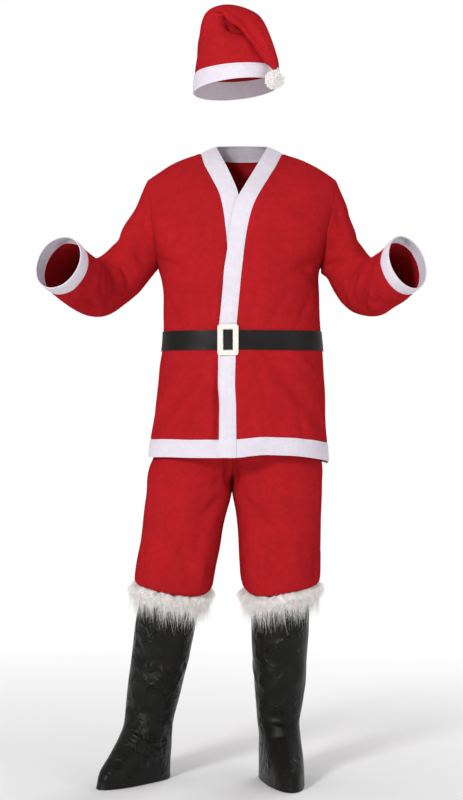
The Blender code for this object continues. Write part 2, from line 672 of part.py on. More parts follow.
def leg_point(angle, inner, outer, depth, height):
    """Point of a leg's section: 0 at the inseam, 180 at the side seam."""
    turn = math.radians(angle)
    middle, half = (inner + outer) / 2, (outer - inner) / 2
    along = math.copysign(abs(math.cos(turn)) ** (2 / ROUNDNESS), math.cos(turn))
    return Vector((middle - half * along, -depth * abs(math.sin(turn)) ** (2 / ROUNDNESS), height))


def trousers(red):
    grids = {side: [Cloth(metres(grid)) for grid in leg_grids(side)] for side in (1, -1)}
    rows = len(HIPS) + len(LEGS)
    crotch = len(HIPS)
    for side, (front, back) in grids.items():
        for i in range(rows):
            join((front, i, LEG_PARTS), (back, i, 0))
            if i > crotch:
                join((front, i, 0), (back, i, LEG_PARTS))
    for i in range(crotch):
        for number, column in ((0, 0), (1, LEG_PARTS)):
            join((grids[1][number], i, column), (grids[-1][number], i, column))
    join(*((grids[side][number], crotch, column) for side in (1, -1)
           for number, column in ((0, 0), (1, LEG_PARTS))))
    for side, name in ((1, "left"), (-1, "right")):
        for cloth, place in zip(grids[side], ("front", "back")):
            cloth.moved(folded)
            piece = cloth.part((WAIST_ROW, rows - 1), (0, LEG_PARTS))
            wall(f"trousers_{place}_{name}", piece, red, FELT, seams=("low", "first", "last"))
    band = Cloth.__new__(Cloth)
    band.closed = True
    order = (grids[1][0], grids[1][1], grids[-1][1], grids[-1][0])
    turns = (1, 1, -1, -1)
    band.points, band.normals = [], []
    for i in range(WAIST_ROW + 1):
        points, directions = [], []
        for cloth, turn in zip(order, turns):
            points += cloth.points[i][::turn][:-1]
            directions += cloth.normals[i][::turn][:-1]
        band.points.append(points)
        band.normals.append(directions)
    wall("waistband", band, red, TRIM, TRIM_PROUD, seams=("high",))


# Boot covers -------------------------------------------------------------------------------

BOOT_PARTS = 14
FUR_PARTS = 36
FUR_PROFILE = [(0, 12), (-4, 26), (-16, 30), (-34, 26)]     # drop and depth of the fur's rows
FUR_TOP, FUR_BACKING = -1065.0, 0.8


def boot_point(table, toe_turn, angle, height, extra=0.0):
    """Point of a boot's section: 0 at the toe, 90 at the left side."""
    _, x, y, half, toe, heel = between(table, height)
    turn, toe_turn = math.radians(angle), math.radians(toe_turn)
    forward = Vector((math.sin(toe_turn), -math.cos(toe_turn), 0))
    sideways = Vector((math.cos(toe_turn), math.sin(toe_turn), 0))
    reach = toe if math.cos(turn) > 0 else heel
    return (Vector((x, y, height)) + sideways * (half + extra) * math.sin(turn)
            + forward * (reach + extra) * math.cos(turn))


def lock_drop(column):
    """How far each lock of the fur hangs below the dense part, uneven round the leg."""
    return 24 + 16 * math.sin(column * 2.4) + (22 if column % 2 else -6) + 6 * math.sin(column * 5.1)


def fur_height(side, turn):
    """Height of the fur's top edge, which follows the trousers' hem round the leg."""
    turn = math.radians(turn)
    return FUR_TOP + hem_lift((1 + side * math.sin(turn)) / 2, math.cos(turn) > 0)


def boot_cover(name, side, table, toe_turn, black, fur):
    grid = [[boot_point(table, toe_turn, 360 * k / BOOT_PARTS, row[0])
             for k in range(BOOT_PARTS)] for row in table]
    wall(f"boot_{name}", Cloth(metres(grid), closed=True).moved(folded), black, VINYL)
    outer, inner = [], []
    for number in range(len(FUR_PROFILE) + 1):
        outside, inside = [], []
        for k in range(FUR_PARTS):
            angle = 360 * k / FUR_PARTS
            if number < len(FUR_PROFILE):
                drop, depth = FUR_PROFILE[number]
            else:
                drop, depth = FUR_PROFILE[-1][0] - lock_drop(k), 9 if k % 2 else 14
            height = fur_height(side, angle + toe_turn) + drop
            outside.append(boot_point(table, toe_turn, angle, height, depth))
            backing = FUR_BACKING if number < len(FUR_PROFILE) else depth - 2.5
            inside.append(boot_point(table, toe_turn, angle, height, backing))
        outer.append(outside)
        inner.append(inside)
    solid(f"fur_top_{name}", metres(outer), metres(inner), fur, closed=True)


# Hat ---------------------------------------------------------------------------------------

HAT_PARTS = 16
HAT = [
    # x, y, z, half width, half depth, fold angle, sideways turn of the section
    (-13, -20, 158, 106, 115, 0, 0),
    (-12.5, -20, 199, 103.5, 112, 0, 0),
    (-12, -20, 237, 98, 104, 0, 5),
    (-16, -21, 275, 90, 90, 5, 15),
    (-22, -27, 303, 80, 70, 18, 28),
    (-28, -40, 323, 67, 48, 38, 33),
    (-24, -55, 330, 58, 32, 62, 33),
    (-13, -74, 330, 50, 21, 88, 30),
    (4, -93, 321, 43, 15, 115, 24),
    (20, -107, 300, 37, 12.5, 145, 16),
    (37, -114, 270, 31, 11.5, 165, 10),
    (55, -118, 235, 24, 10.5, 172, 6),
    (68, -121, 208, 16.5, 9, 174, 4),
    (75, -122, 197, 9, 7, 175, 4),
    (77, -122.5, 187.6, 3.4, 3, 175, 4),
]
HAT_TILT = (0.10, -0.065)       # rise of the mouth to the left side and to the back
POMPOM = (78, -126, 163.9)
POMPOM_CORE, POMPOM_LOCK = 17, 8.5


def hat_grid():
    """Rings from the mouth up the crown, over the fold and down the hanging tail."""
    grid = []
    for x, y, z, width, depth, fold, turn in HAT:
        fold, turn = math.radians(fold), math.radians(turn)
        side = Vector((math.cos(turn), math.sin(turn), 0))
        fall = Vector((math.sin(turn), -math.cos(turn), 0))
        radial = -fall * math.cos(fold) + Vector((0, 0, 1)) * math.sin(fold)
        level = 1 - smooth((z - 158) / 90)
        row = []
        for k in range(HAT_PARTS):
            angle = 2 * math.pi * k / HAT_PARTS
            point = Vector((x, y, z)) + side * width * math.cos(angle) + radial * depth * math.sin(angle)
            point.z += level * (HAT_TILT[0] * (point.x - x) + HAT_TILT[1] * (point.y - y))
            row.append(point)
        grid.append(row)
    return grid


def hat(red, white, fluff):
    shape = Cloth(metres(hat_grid()), closed=True)
    wall("hat_band", shape.ring((0, 1)), white, TRIM, TRIM_PROUD, seams=("high",))
    crown = shape.ring((1, len(HAT) - 1))
    wall("hat_crown", crown, red, FELT, seams=("low",))
    bm = bmesh.new()
    bmesh.ops.create_icosphere(bm, subdivisions=2, radius=POMPOM_CORE * MM)
    bmesh.ops.poke(bm, faces=bm.faces[:], offset=POMPOM_LOCK * MM)
    bmesh.ops.translate(bm, verts=bm.verts, vec=at(*POMPOM))
    finished("pompom", bm, fluff)


def main():
    for leftover in list(bpy.data.objects):
        bpy.data.objects.remove(leftover)
    red = material("red_felt", (0.48, 0.015, 0.025), 0.95)
    white = material("white_felt", (0.85, 0.82, 0.88), 0.95)
    charcoal = material("charcoal_leatherette", (0.035, 0.032, 0.03), 0.45)
    cream = material("cream_plastic", (0.85, 0.82, 0.76), 0.35)
    black = material("black_leatherette", (0.012, 0.012, 0.011), 0.35)
    fur = material("white_fur", (0.8, 0.76, 0.74), 0.9)
    jacket(red, white, charcoal, cream)
    trousers(red)
    boot_cover("left", 1, LEFT_BOOT, LEFT_TOE, black, fur)
    boot_cover("right", -1, RIGHT_BOOT, RIGHT_TOE, black, fur)
    hat(red, white, fur)


main()
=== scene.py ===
"""Looks of a santa suit, worn and hollow: hat, jacket and belt, trousers and boot covers.

The cloth lies on the same sections as its solids. Each piece is a fine grid read from those
sections, with the large folds and many lesser creases pressed into it, and a thin wall. Fur,
wool and sewing are made here too. Tables are in millimetres, as a cutter would note them;
everything built from them is in metres.
"""
import math

import bmesh
import bpy
import numpy as np
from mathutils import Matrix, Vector


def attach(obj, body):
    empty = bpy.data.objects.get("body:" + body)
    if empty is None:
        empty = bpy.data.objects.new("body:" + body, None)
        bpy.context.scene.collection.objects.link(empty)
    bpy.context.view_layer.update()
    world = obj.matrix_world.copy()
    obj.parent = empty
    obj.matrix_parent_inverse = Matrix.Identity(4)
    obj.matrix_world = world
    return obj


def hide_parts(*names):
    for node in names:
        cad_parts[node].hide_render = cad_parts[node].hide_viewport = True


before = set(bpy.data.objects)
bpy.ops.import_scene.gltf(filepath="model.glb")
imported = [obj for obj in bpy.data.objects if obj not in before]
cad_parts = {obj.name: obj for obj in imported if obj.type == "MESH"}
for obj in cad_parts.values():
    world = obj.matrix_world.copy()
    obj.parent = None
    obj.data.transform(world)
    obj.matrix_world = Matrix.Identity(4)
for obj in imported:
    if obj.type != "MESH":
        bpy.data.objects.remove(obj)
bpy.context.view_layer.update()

MM = 0.001
FELT = 1.6 * MM             # wall of the red felt
TRIM = 2.6 * MM             # wall of the white felt strips, which are folded double
TRIM_PROUD = 1.0 * MM       # how far the white strips stand out from the red felt
BELT_WALL = 2.0 * MM
BELT_CLEAR = 0.4 * MM
VINYL = 1.6 * MM            # wall of the boot covers
LAP = 5.8                   # how far the left front lies out over the right front
LAP_X, LAP_TOP = (20, 100), (-112, -22)     # where the lap fades out to the side and upwards
SKIRT_X = -6                # the skirt's middle
FLUTES_FROM, FLUTES_FULL = -520, -740       # heights between which the skirt's flutes grow
FLUTES = [(0.014, 5, 0.6), (0.008, 9, 0)]   # share of the reach, number round the hem, start

FRONT_PARTS = 8             # panel columns from the front strip to the side seam
NECK_PARTS = 3              # back columns from the middle to the neck strip
STRIP_PARTS = 2             # columns across a white strip
YOKE_ROWS = 7               # rows from the underarm to the shoulder
LEG_PARTS = 6               # trouser columns from the middle seam to the side seam
ROUNDNESS = 2.4             # exponent of the body's oval sections
DOWN, ROUND = 6, 8          # finer rows and columns to each one of the tables
STITCH, STITCH_PITCH = 3.4 * MM, 4.8 * MM
THREAD, STITCH_DIP = 1.1 * MM, 0.25 * MM    # a stitch's width and rise, and how its ends dip
STITCH_PROUD = 1.3 * MM     # how far the stitches of a strip's upper edge stand out
SOFT_EDGE, TRIM_EDGE, EDGE_ANGLE = 0.4 * MM, 0.8 * MM, 50      # rounding of the walls' edges
SAME_POINT, DOUBLES = 0.02 * MM, 0.001 * MM
FOLD_STEPS = 6              # points along each fold
FOLD_END = 0.1              # where on its soft rise a fold starts and ends
FOLD_NEAR = 30 * MM         # how far off the cloth a fold's line may be stated
LESSER = 1.3                # strength of the lesser creases
SEAM_DIP, SEAM_REACH, SEAM_LINES = 1.1 * MM, 3.5 * MM, 4      # how the felt dips along its seams
STRIP_PUFF, TURNED_REACH = 0.5 * MM, 5 * MM     # how a white strip swells between its edges
TURNED_FALL = TRIM_PROUD * 0.7 + STRIP_PUFF     # how much lower its turned edges lie
EDGES = {"low": (0, 1), "high": (0, -1), "first": (1, 1), "last": (1, -1)}
SIDES = ((1, "left"), (-1, "right"))
# Each kind of cloth or hair: its slot and its wall.
KINDS = {"red": ("red_felt", FELT), "white": ("white_felt", TRIM), "thread": ("white_felt", None),
         "charcoal": ("charcoal_leatherette", BELT_WALL), "black": ("black_leatherette", VINYL),
         "fur": ("white_fur", None)}


# Jacket sections below the underarm, hem first: height, the two sides, front and back depth.
TORSO = [
    # z,   right side, left side, front, back
    (-742, -223, 211, 154, 145),
    (-698, -220, 208, 152, 142),
    (-655, -214, 205, 149, 137),
    (-610, -210, 203, 147, 132),
    (-565, -206, 202, 145, 128),
    (-522, -202, 200, 143, 124),
    (-481, -196, 197, 140, 121),
    (-434, -193, 193, 139, 119),
    (-390, -192, 191, 137, 118),
    (-345, -192, 189, 135, 119),
    (-305, -198, 188, 133, 119),
    (-280, -205, 192, 131, 119),
]
HEM_ROW, BELT_LOW, BELT_HIGH = 1, 6, 7
# How far the hem hangs lower than its row, all round: 0 is the front's middle, 90 the left.
HEM_DROP = [
    (-180, 0), (-120, 2), (-90, -2), (-60, -5), (-35, -4), (0, -5), (22, -12), (48, -8),
    (70, 3), (90, 13), (125, 8), (155, 1), (180, 0),
]
UNDERARM = len(TORSO) - 1

# The left front's strip lies outside. Height, its free edge and its seam.
LEFT_STRIP = [
    # z,  edge x, seam x
    (-742, -55, -13.5), (-690, -55, -14), (-610, -55, -15), (-557, -59, -17.5),
    (-495, -57, -15.5), (-426, -55.5, -14), (-362, -48.5, -8), (-312, -45, -3.5), (-280, -42, 0),
]
RIGHT_STRIP = [(-742, 6, -36), (-280, 6.5, -36)]

# Strips from the underarm to the neck: edge and seam points.
LEFT_YOKE = [
    # edge x, y, z,        seam x, y, z
    (-42, -131, -280, 0, -131, -280),
    (-34.5, -128, -232, 6, -128, -230),
    (-28.5, -122, -180, 14.5, -121, -179),
    (-17.5, -111, -130, 26, -112, -138),
    (2, -97, -92, 41, -100, -106),
    (27, -71, -47, 64, -73, -64),
    (46, -43, -12, 83, -43, -30),
    (62, -4, 20, 99, -2, 3),
]
RIGHT_YOKE = [
    (6.5, -131, -280, -36, -130, -280),
    (5.5, -128, -232, -36, -127, -230),
    (0.5, -122, -180, -41, -121, -178),
    (-4.5, -112, -131, -47, -112, -137),
    (-13, -98, -92, -56.5, -99, -100),
    (-32, -73, -46, -75, -72, -62),
    (-48, -43, -12, -91, -42, -30),
    (-63, -4, 20, -101, -2, 3),
]
# Armhole from the underarm to the shoulder's tip, for the left side. The right one is wider.
ARMHOLE = [
    # x, front y, back y, z
    (192, -4, 4, -280), (195, -38, 36, -262), (201, -60, 56, -228), (208, -70, 66, -190),
    (216, -66, 64, -150), (224, -52, 52, -112), (230, -29, 31, -80), (231, 0, 0, -60),
]
RIGHT_ARMHOLE_OUT = [13, 12, 10, 8, 5, 2, 0, 0]
SHOULDER_RISE = 9           # how far the shoulder bows up between neck and tip
BACK_MIDDLE = [             # y and z of the back's middle line, underarm to neck
    (119, -280), (121, -236), (122, -192), (120, -150), (115, -110), (107, -72), (96, -36), (82, -8),
]
NECK_EDGE_BACK = (0, 57, 30)    # free edge of the neck strip at the back's middle
MIDDLE_KEPT = 0.3               # share of the back's middle x that is left at the neck

# Sleeve rings after the armhole: centre, reach up and across, the degrees that the ring
# turns to the front, and the degrees that its upper side leans along the arm.
RIGHT_SLEEVE = [
    # x,   y,   z,    up, across, turn, lean
    (-235, -2, -206, 84, 64, 0, 16), (-248, -4, -226, 78, 64, 0, 19),
    (-262, -7, -246, 76, 64, 2, 19), (-278, -11, -269, 74, 65, 5, 18),
    (-298, -18, -292, 73, 66, 12, 14), (-320, -31, -313, 72, 67, 22, 9),
    (-341, -53, -326, 71, 68, 35, 3), (-359, -84, -328, 70, 68, 46, -4),
    (-376, -118, -321, 68, 67, 53, -10), (-394, -152, -309, 66, 65, 56, -15),
    (-415, -193, -291.5, 65, 64, 57, -18), (-431, -222, -279, 66, 64, 57, -20),
]
LEFT_SLEEVE = [
    (224, -2, -206, 90, 62, 0, 20), (235, -4, -227, 80, 62, 0, 20),
    (245, -7, -248, 78, 62, 2, 20), (256, -11, -270, 76, 63, 5, 20),
    (269, -18, -292, 76, 65, 12, 17), (286, -31, -313, 74, 67, 22, 12),
    (303, -54, -325, 71, 68, 35, 4), (319, -86, -327, 70, 68, 45, -3),
    (335, -120, -320, 68, 66, 50, -9), (352, -153, -308, 66, 63, 52, -14),
    (372, -193, -291.5, 65, 61, 52, -17), (386, -221, -279, 66, 58, 52, -19),
]

# Trouser rows above the crotch, on the hips, and below it, a row for each leg section.
HIPS = [
    # z,  right side, left side, front, back
    (-415, -160, 160, 112, 98), (-450, -164, 163, 115, 100), (-520, -173, 170, 119, 108),
    (-590, -186, 178, 122, 116), (-660, -201, 187, 125, 120), (-725, -212.4, 195, 126, 119),
    (-765, -224, 199, 124, 116), (-795, -230, 199, 119, 114),
]
CROTCH_X = -24.5
LEGS = [
    # z,  right out, right in, left in, left out, front, back
    (-825, -235, CROTCH_X, CROTCH_X, 198, 113, 109),
    (-868, -240.5, -34, -17, 197, 108, 105),
    (-915, -247, -45, -13, 195, 103, 101),
    (-960, -253.5, -53, -10, 194, 100, 99),
    (-1000, -259, -61, -7, 194, 98, 97),
    (-1034, -263, -67, -4.5, 193.5, 96, 96),
    (-1056, -264, -72, 1, 191, 93, 93),
    (-1064, -260, -80, 9, 186, 88, 88),
]
# Height of the trousers' front hem over its row: 0 is the inseam, 1 the side seam.
HEM_LINE = [(0, 2), (0.08, -9), (0.25, -10), (0.42, -7), (0.6, 0), (0.81, 8.5), (1, 17)]
HEM_PULL = [0, 0, 0, 0, 0.25, 0.6, 0.94, 1]     # how far each leg row follows that line

# Boot cover rows: height, centre, half width, toe and heel reach.
RIGHT_BOOT = [
    # z,    x,    y, half width, toe, heel
    (-1048, -171, 2, 76, 77, 76), (-1090, -177, 2, 76, 77, 76), (-1140, -186, 3, 74, 75, 75),
    (-1190, -194, 4, 72, 73, 74), (-1240, -202, 6, 70, 70, 72), (-1290, -212, 7, 67, 67, 69),
    (-1340, -221, 8, 63, 64, 65), (-1385, -227, 8, 59, 66, 62), (-1420, -230, 8, 56, 90, 62),
    (-1455, -232, 8, 55, 128, 64), (-1490, -234, 8, 54, 168, 66), (-1526, -234, 8, 53, 182, 66),
]
LEFT_BOOT = [
    (-1048, 95, 2, 74, 76, 75), (-1090, 94, 2, 73, 76, 75), (-1140, 93, 3, 71, 74, 74),
    (-1190, 93, 4, 69, 72, 73), (-1240, 93, 6, 66, 69, 71), (-1290, 93, 7, 63, 66, 68),
    (-1340, 92, 8, 57, 63, 64), (-1385, 89, 8, 52, 66, 61), (-1420, 92, 8, 51, 92, 61),
    (-1455, 93, 8, 52, 130, 63), (-1490, 93, 8, 52, 170, 65), (-1526, 93, 8, 52, 184, 65),
]
RIGHT_TOE, LEFT_TOE = -36, 8    # degrees that the toes turn out to +X

BOOT_PARTS = 14
HIP_TOP = -725              # below this height the hips part into legs
WAIST_X, MIDDLE_FULL = -2, -835     # the hips' middle at the waist, and where it is the crotch's
WAIST_ROW = 1
HAT_PARTS = 16
HAT = [
    # x, y, z, half width, half depth, fold angle, sideways turn of the section
    (-13, -20, 158, 106, 115, 0, 0),
    (-12.5, -20, 199, 103.5, 112, 0, 0),
    (-12, -20, 237, 98, 104, 0, 5),
    (-16, -21, 275, 90, 90, 5, 15),
    (-22, -27, 303, 80, 70, 18, 28),
    (-28, -40, 323, 67, 48, 38, 33),
    (-24, -55, 330, 58, 32, 62, 33),
    (-13, -74, 330, 50, 21, 88, 30),
    (4, -93, 321, 43, 15, 115, 24),
    (20, -107, 300, 37, 12.5, 145, 16),
    (37, -114, 270, 31, 11.5, 165, 10),
    (55, -118, 235, 24, 10.5, 172, 6),
    (68, -121, 208, 16.5, 9, 174, 4),
    (75, -122, 197, 9, 7, 175, 4),
    (77, -122.5, 187.6, 3.4, 3, 175, 4),
]
HAT_TILT = (0.10, -0.065)       # rise of the mouth to the left side and to the back
HAT_LEVEL = 248                 # above this height the rings don't tilt with the mouth
POMPOM, POMPOM_CORE = (78, -126, 163.9), 17     # the ball's middle and its core's radius

FUR_PROFILE = [(0, 9), (-4, 19), (-12, 22), (-22, 18), (-28, 9), (-29, 2)]  # drop and depth
FUR_TUCK = [(-26, 1.0), (-8, 1.2)]      # the fur's backing, behind its rows
FUR_TOP, FUR_BACKING = -1065.0, 0.8     # the fur's height, and its backing's least depth
FUR_PARTS, FUR_ROWS = 72, 3     # columns round the leg, and finer rows to each of the profile's
STRAND_ROWS = 5                 # pairs of points along each hair
LOCKS, LOCK_STRANDS = 560, 20
FLUFF = 6500                    # short hairs over the fur's dense body
WISPS, WISP_STRANDS = 250, 17   # long thin hairs that hang in loose streaks over the boot
TUFTS = [(1.6, 2.4, 1.3), (1.4, 5.1, 1.0)]      # the body's waves: height, turn round and down
TUFT_DEPTH = 0.6                # their depth, as a share of their height
SWAY = 6 * MM                   # how far a streak swings along the fur's edge
SPREAD, RISE, ROOT = 3.2 * MM, 2 * MM, 1.5 * MM     # its hairs' places round, up and inwards
TAPER, TAPER_POWER, CURL_TURN = 0.42, 1.5, 5.5      # how a hair thins and curls to its tip
POMPOM_STRANDS = 5000
POMPOM_LUMP = 0.08              # height of the pompom's lumps, as a share of its radius
UP = np.array((0.0, 0.0, 1.0))

CAMERA_DISTANCE = 4.6
CAMERA_X, CAMERA_Z = -0.0257, -0.600
PIXEL, IMAGE_HEIGHT, SENSOR = 2.45 * MM, 800, 36    # width of the suit that one pixel shows
FLOOR, FLOOR_REACH = -1.5275, 14
FADE = (0.4, 2.6)           # where the floor's grey starts and ends to fade
AMBIENT = 0.42              # light from all round, beside the lamps
LAMPS = [
    # name, place, size, power
    ("key", (-2.0, -3.75, 1.1), 0.8, 122), ("fill", (2.8, -2.4, 0.0), 1.6, 17),
    ("top", (0.0, 0.3, 2.6), 1.2, 12), ("rear", (1.2, 2.8, 1.0), 2.0, 45),
]


# Largest folds: each runs between two points, with its reach to each side and its height.
FOLDS = [
    # x, y, z,          x, y, z,          reach, height
    (-66, -146, -527, -190, -85, -640, 17, -8), (-78, -146, -560, -196, -92, -678, 17, 8),
    (-70, -150, -600, -150, -128, -700, 15, -7), (70, -148, -520, 165, -110, -625, 19, -7),
    (80, -148, -565, 180, -105, -680, 19, 7), (-120, 128, -500, -60, 138, -690, 20, -8),
    (60, 130, -500, 130, 128, -690, 20, -8), (0, 126, -520, 10, 142, -700, 18, 7),
    (-207, -60, -262, -120, -124, -300, 17, -7), (200, -60, -262, 120, -124, -300, 17, -7),
    (-207, 60, -262, -120, 114, -310, 18, -8), (200, 60, -262, 120, 114, -310, 18, -8),
    (-190, -70, -400, -110, -130, -380, 15, -5), (185, -75, -395, 110, -130, -375, 15, -5),
    (-318, -92, -268, -250, -66, -300, 15, -9), (-330, -105, -272, -318, -98, -372, 15, -9),
    (-345, -118, -262, -372, -158, -372, 15, -8), (-300, 30, -262, -345, 35, -340, 16, 7),
    (-262, -62, -190, -228, -60, -280, 16, -7), (-300, -40, -200, -262, 50, -262, 16, -5),
    (282, -92, -268, 222, -66, -300, 15, -9), (292, -105, -272, 280, -98, -372, 15, -9),
    (305, -118, -262, 330, -158, -372, 15, -8), (265, 30, -262, 305, 35, -340, 16, 7),
    (246, -62, -190, 212, -60, -280, 16, -7), (280, -40, -200, 245, 50, -262, 16, -5),
    (-30, -116, -790, -120, -116, -752, 16, -8), (-34, -100, -830, -110, -108, -900, 16, -8),
    (-18, -116, -790, 80, -114, -752, 16, -8), (-14, -100, -830, 60, -108, -905, 16, -8),
    (-34, 100, -830, -130, 108, -880, 18, -9), (-14, 100, -830, 90, 108, -880, 18, -9),
    (-160, -102, -950, -205, -92, -1040, 17, 7), (110, -102, -945, 150, -92, -1040, 17, 7),
    (-120, -100, -1040, -150, -102, -930, 17, -7), (60, -98, -1040, 85, -102, -925, 17, -7),
    (-180, 98, -1030, -150, 102, -930, 18, -7), (90, 98, -1030, 70, 102, -930, 18, -7),
    (-255, -20, -1215, -160, -62, -1245, 14, -5), (-265, -10, -1290, -170, -58, -1262, 14, 5),
    (-280, -10, -1345, -190, -52, -1372, 14, -7), (-262, 50, -1380, -190, 60, -1362, 15, -7),
    (30, -40, -1220, 140, -50, -1246, 14, -5), (35, -40, -1300, 145, -40, -1282, 14, 5),
    (40, -48, -1362, 138, -45, -1382, 14, -7), (50, 58, -1350, 130, 62, -1372, 15, -7),
]


# Lesser creases, in the same way as the large folds. The front ones follow how the suit hangs,
# and the hidden sides have similar ones.
JACKET_CREASES = [
    # x, y, z,          x, y, z,          reach, height
    (-61, -146, -500, -64, -150, -722, 7, -8), (-80, -148, -540, -150, -120, -610, 8, 3.5),
    (-62, -140, -482, -150, -112, -560, 10, -3.5), (-95, -140, -490, -200, -70, -600, 10, 3),
    (-60, -140, -640, -100, -135, -720, 10, 3), (-110, -130, -600, -130, -128, -690, 9, -3),
    (-160, -100, -500, -205, -60, -560, 9, -3), (-205, -60, -600, -222, -40, -690, 10, 3),
    (20, -146, -485, 60, -142, -600, 10, -3), (50, -140, -490, 130, -110, -560, 9, -3),
    (110, -120, -480, 180, -80, -540, 9, 3), (30, -150, -620, 50, -150, -700, 10, 3),
    (130, -120, -620, 150, -115, -700, 9, -3.5), (185, -80, -600, 200, -60, -690, 9, 3),
    (10, -138, -430, 40, -136, -350, 10, -2.5), (60, -132, -430, 110, -118, -340, 10, -3),
    (130, -110, -425, 170, -80, -350, 9, -3), (-100, -130, -430, -120, -122, -350, 10, -3),
    (-150, -105, -425, -182, -60, -350, 9, -3), (-70, -135, -425, -60, -134, -340, 9, 2.5),
    (-180, -80, -300, -90, -125, -240, 12, -3.5), (-190, -70, -330, -120, -118, -330, 10, -3),
    (180, -80, -300, 90, -122, -230, 12, -3.5), (180, -70, -335, 110, -118, -335, 10, -3),
    (-215, -62, -200, -130, -100, -160, 12, -3), (215, -62, -200, 130, -100, -150, 12, -3),
    (-120, 118, -430, -60, 122, -330, 11, -3.5), (40, 120, -430, 70, 120, -320, 11, -3.5),
    (-30, 122, -425, -10, 122, -330, 10, -3), (130, 105, -420, 160, 80, -340, 9, -3),
    (-150, 100, -420, -175, 70, -340, 9, -3), (-60, 122, -300, -140, 105, -220, 12, -3.5),
    (60, 122, -300, 140, 105, -220, 12, -3.5), (-190, 50, -480, -215, 60, -640, 11, 4),
    (-160, 100, -500, -180, 100, -680, 10, -4), (160, 95, -500, 175, 95, -680, 10, -4),
    (190, 40, -490, 205, 50, -650, 11, 4), (-60, 128, -500, -20, 138, -640, 10, 3),
    (60, 125, -490, 30, 138, -600, 10, 3), (0, 110, -80, 0, 120, -160, 14, -2.5),
    # right sleeve
    (-230, -40, -120, -262, -66, -200, 11, -3), (-245, 20, -130, -285, 40, -230, 11, -3),
    (-270, -75, -230, -230, -70, -275, 9, -3.5), (-300, -80, -250, -262, -82, -330, 9, -4),
    (-320, -60, -240, -352, -110, -255, 9, -3.5), (-352, -165, -275, -345, -190, -330, 8, 3),
    (-385, -150, -255, -400, -190, -330, 8, -3),
    (-360, -30, -300, -390, -70, -340, 9, -3.5), (-330, 0, -290, -372, -30, -350, 9, 3),
    (-300, 20, -330, -345, -20, -380, 9, -3.5), (-395, -120, -300, -430, -180, -300, 8, -3),
    (-405, -205, -235, -425, -170, -262, 8, 3), (-250, 60, -210, -300, 50, -290, 10, -3.5),
    (-375, -190, -360, -347, -108, -392, 12, -12), (-390, -218, -345, -359, -145, -381, 11, 5),
    (-337, -183, -300, -329, -148, -360, 9, -7), (-329, -119, -272, -318, -146, -345, 15, -6),
    (-318, -146, -320, -326, -97, -387, 15, -6),
    # left sleeve
    (222, -40, -120, 250, -66, -200, 11, -3), (235, 20, -130, 270, 40, -230, 11, -3),
    (258, -75, -230, 218, -70, -275, 9, -3.5), (280, -80, -250, 245, -82, -330, 9, -4),
    (300, -60, -240, 325, -110, -255, 9, -3.5), (262, -60, -300, 268, -72, -375, 9, 3),
    (350, -150, -255, 365, -190, -330, 8, -3),
    (330, -30, -300, 360, -70, -340, 9, -3.5), (305, 0, -290, 345, -30, -350, 9, 3),
    (270, 20, -330, 315, -20, -380, 9, -3.5), (365, -120, -300, 395, -180, -300, 8, -3),
    (370, -205, -235, 390, -170, -262, 8, 3), (240, 60, -210, 285, 50, -290, 10, -3.5),
    (302, -176, -270, 288, -160, -345, 13, -13), (288, -166, -325, 291, -99, -390, 13, -13),
    (320, -215, -285, 306, -180, -352, 13, 7), (308, -185, -335, 314, -120, -390, 13, 7),
    (313, -205, -305, 326, -165, -372, 8, -5), (189, -33, -280, 260, -76, -264, 9, -7),
    (249, -57, -357, 285, -140, -300, 10, -5),
]
TROUSER_CREASES = [
    (-46, -116, -725, -31, -55, -806, 4.5, -8), (-12, -116, -725, -17, -45, -804, 4.5, -8),
    (-31, -114, -742, -28, -50, -790, 6, 4), (-60, -90, -790, -105, -104, -850, 9, -3.5),
    (-30, -122, -770, -45, -118, -860, 10, -4), (-12, -122, -760, 2, -116, -850, 9, 3.5),
    (-60, -118, -770, -90, -112, -860, 11, 3), (20, -120, -770, 40, -112, -870, 11, -3),
    (-150, -110, -760, -160, -105, -900, 12, -3), (120, -108, -760, 125, -102, -900, 12, -3),
    (-220, -60, -780, -235, -60, -900, 11, 3), (185, -60, -780, 188, -60, -900, 11, 3),
    (-90, -102, -900, -120, -100, -1000, 12, -3.5), (50, -102, -900, 70, -100, -1010, 12, -3.5),
    (-180, -98, -920, -170, -98, -1030, 11, -3), (130, -98, -920, 120, -98, -1030, 11, 3),
    (-80, -95, -990, -90, -98, -1050, 9, 3), (20, -95, -980, 30, -96, -1050, 9, -3),
    (-225, -60, -940, -240, -60, -1040, 10, -3.5), (170, -60, -940, 175, -60, -1040, 10, -3.5),
    (-240, 0, -800, -258, 5, -960, 11, -3.5), (195, 0, -800, 195, 0, -960, 11, -3.5),
    (-60, 116, -770, -70, 108, -850, 12, -4), (20, 116, -770, 30, 108, -850, 12, -4),
    (-150, 108, -780, -150, 102, -920, 12, -3.5), (100, 108, -780, 100, 102, -920, 12, -3.5),
    (-200, 80, -880, -220, 70, -1000, 11, 3), (160, 80, -880, 165, 70, -1000, 11, 3),
    (-110, 100, -940, -120, 98, -1040, 11, -3), (50, 100, -940, 60, 98, -1040, 11, -3),
    (-55, -20, -900, -70, -10, -1020, 10, -3), (-5, -20, -900, 0, -10, -1020, 10, -3),
]
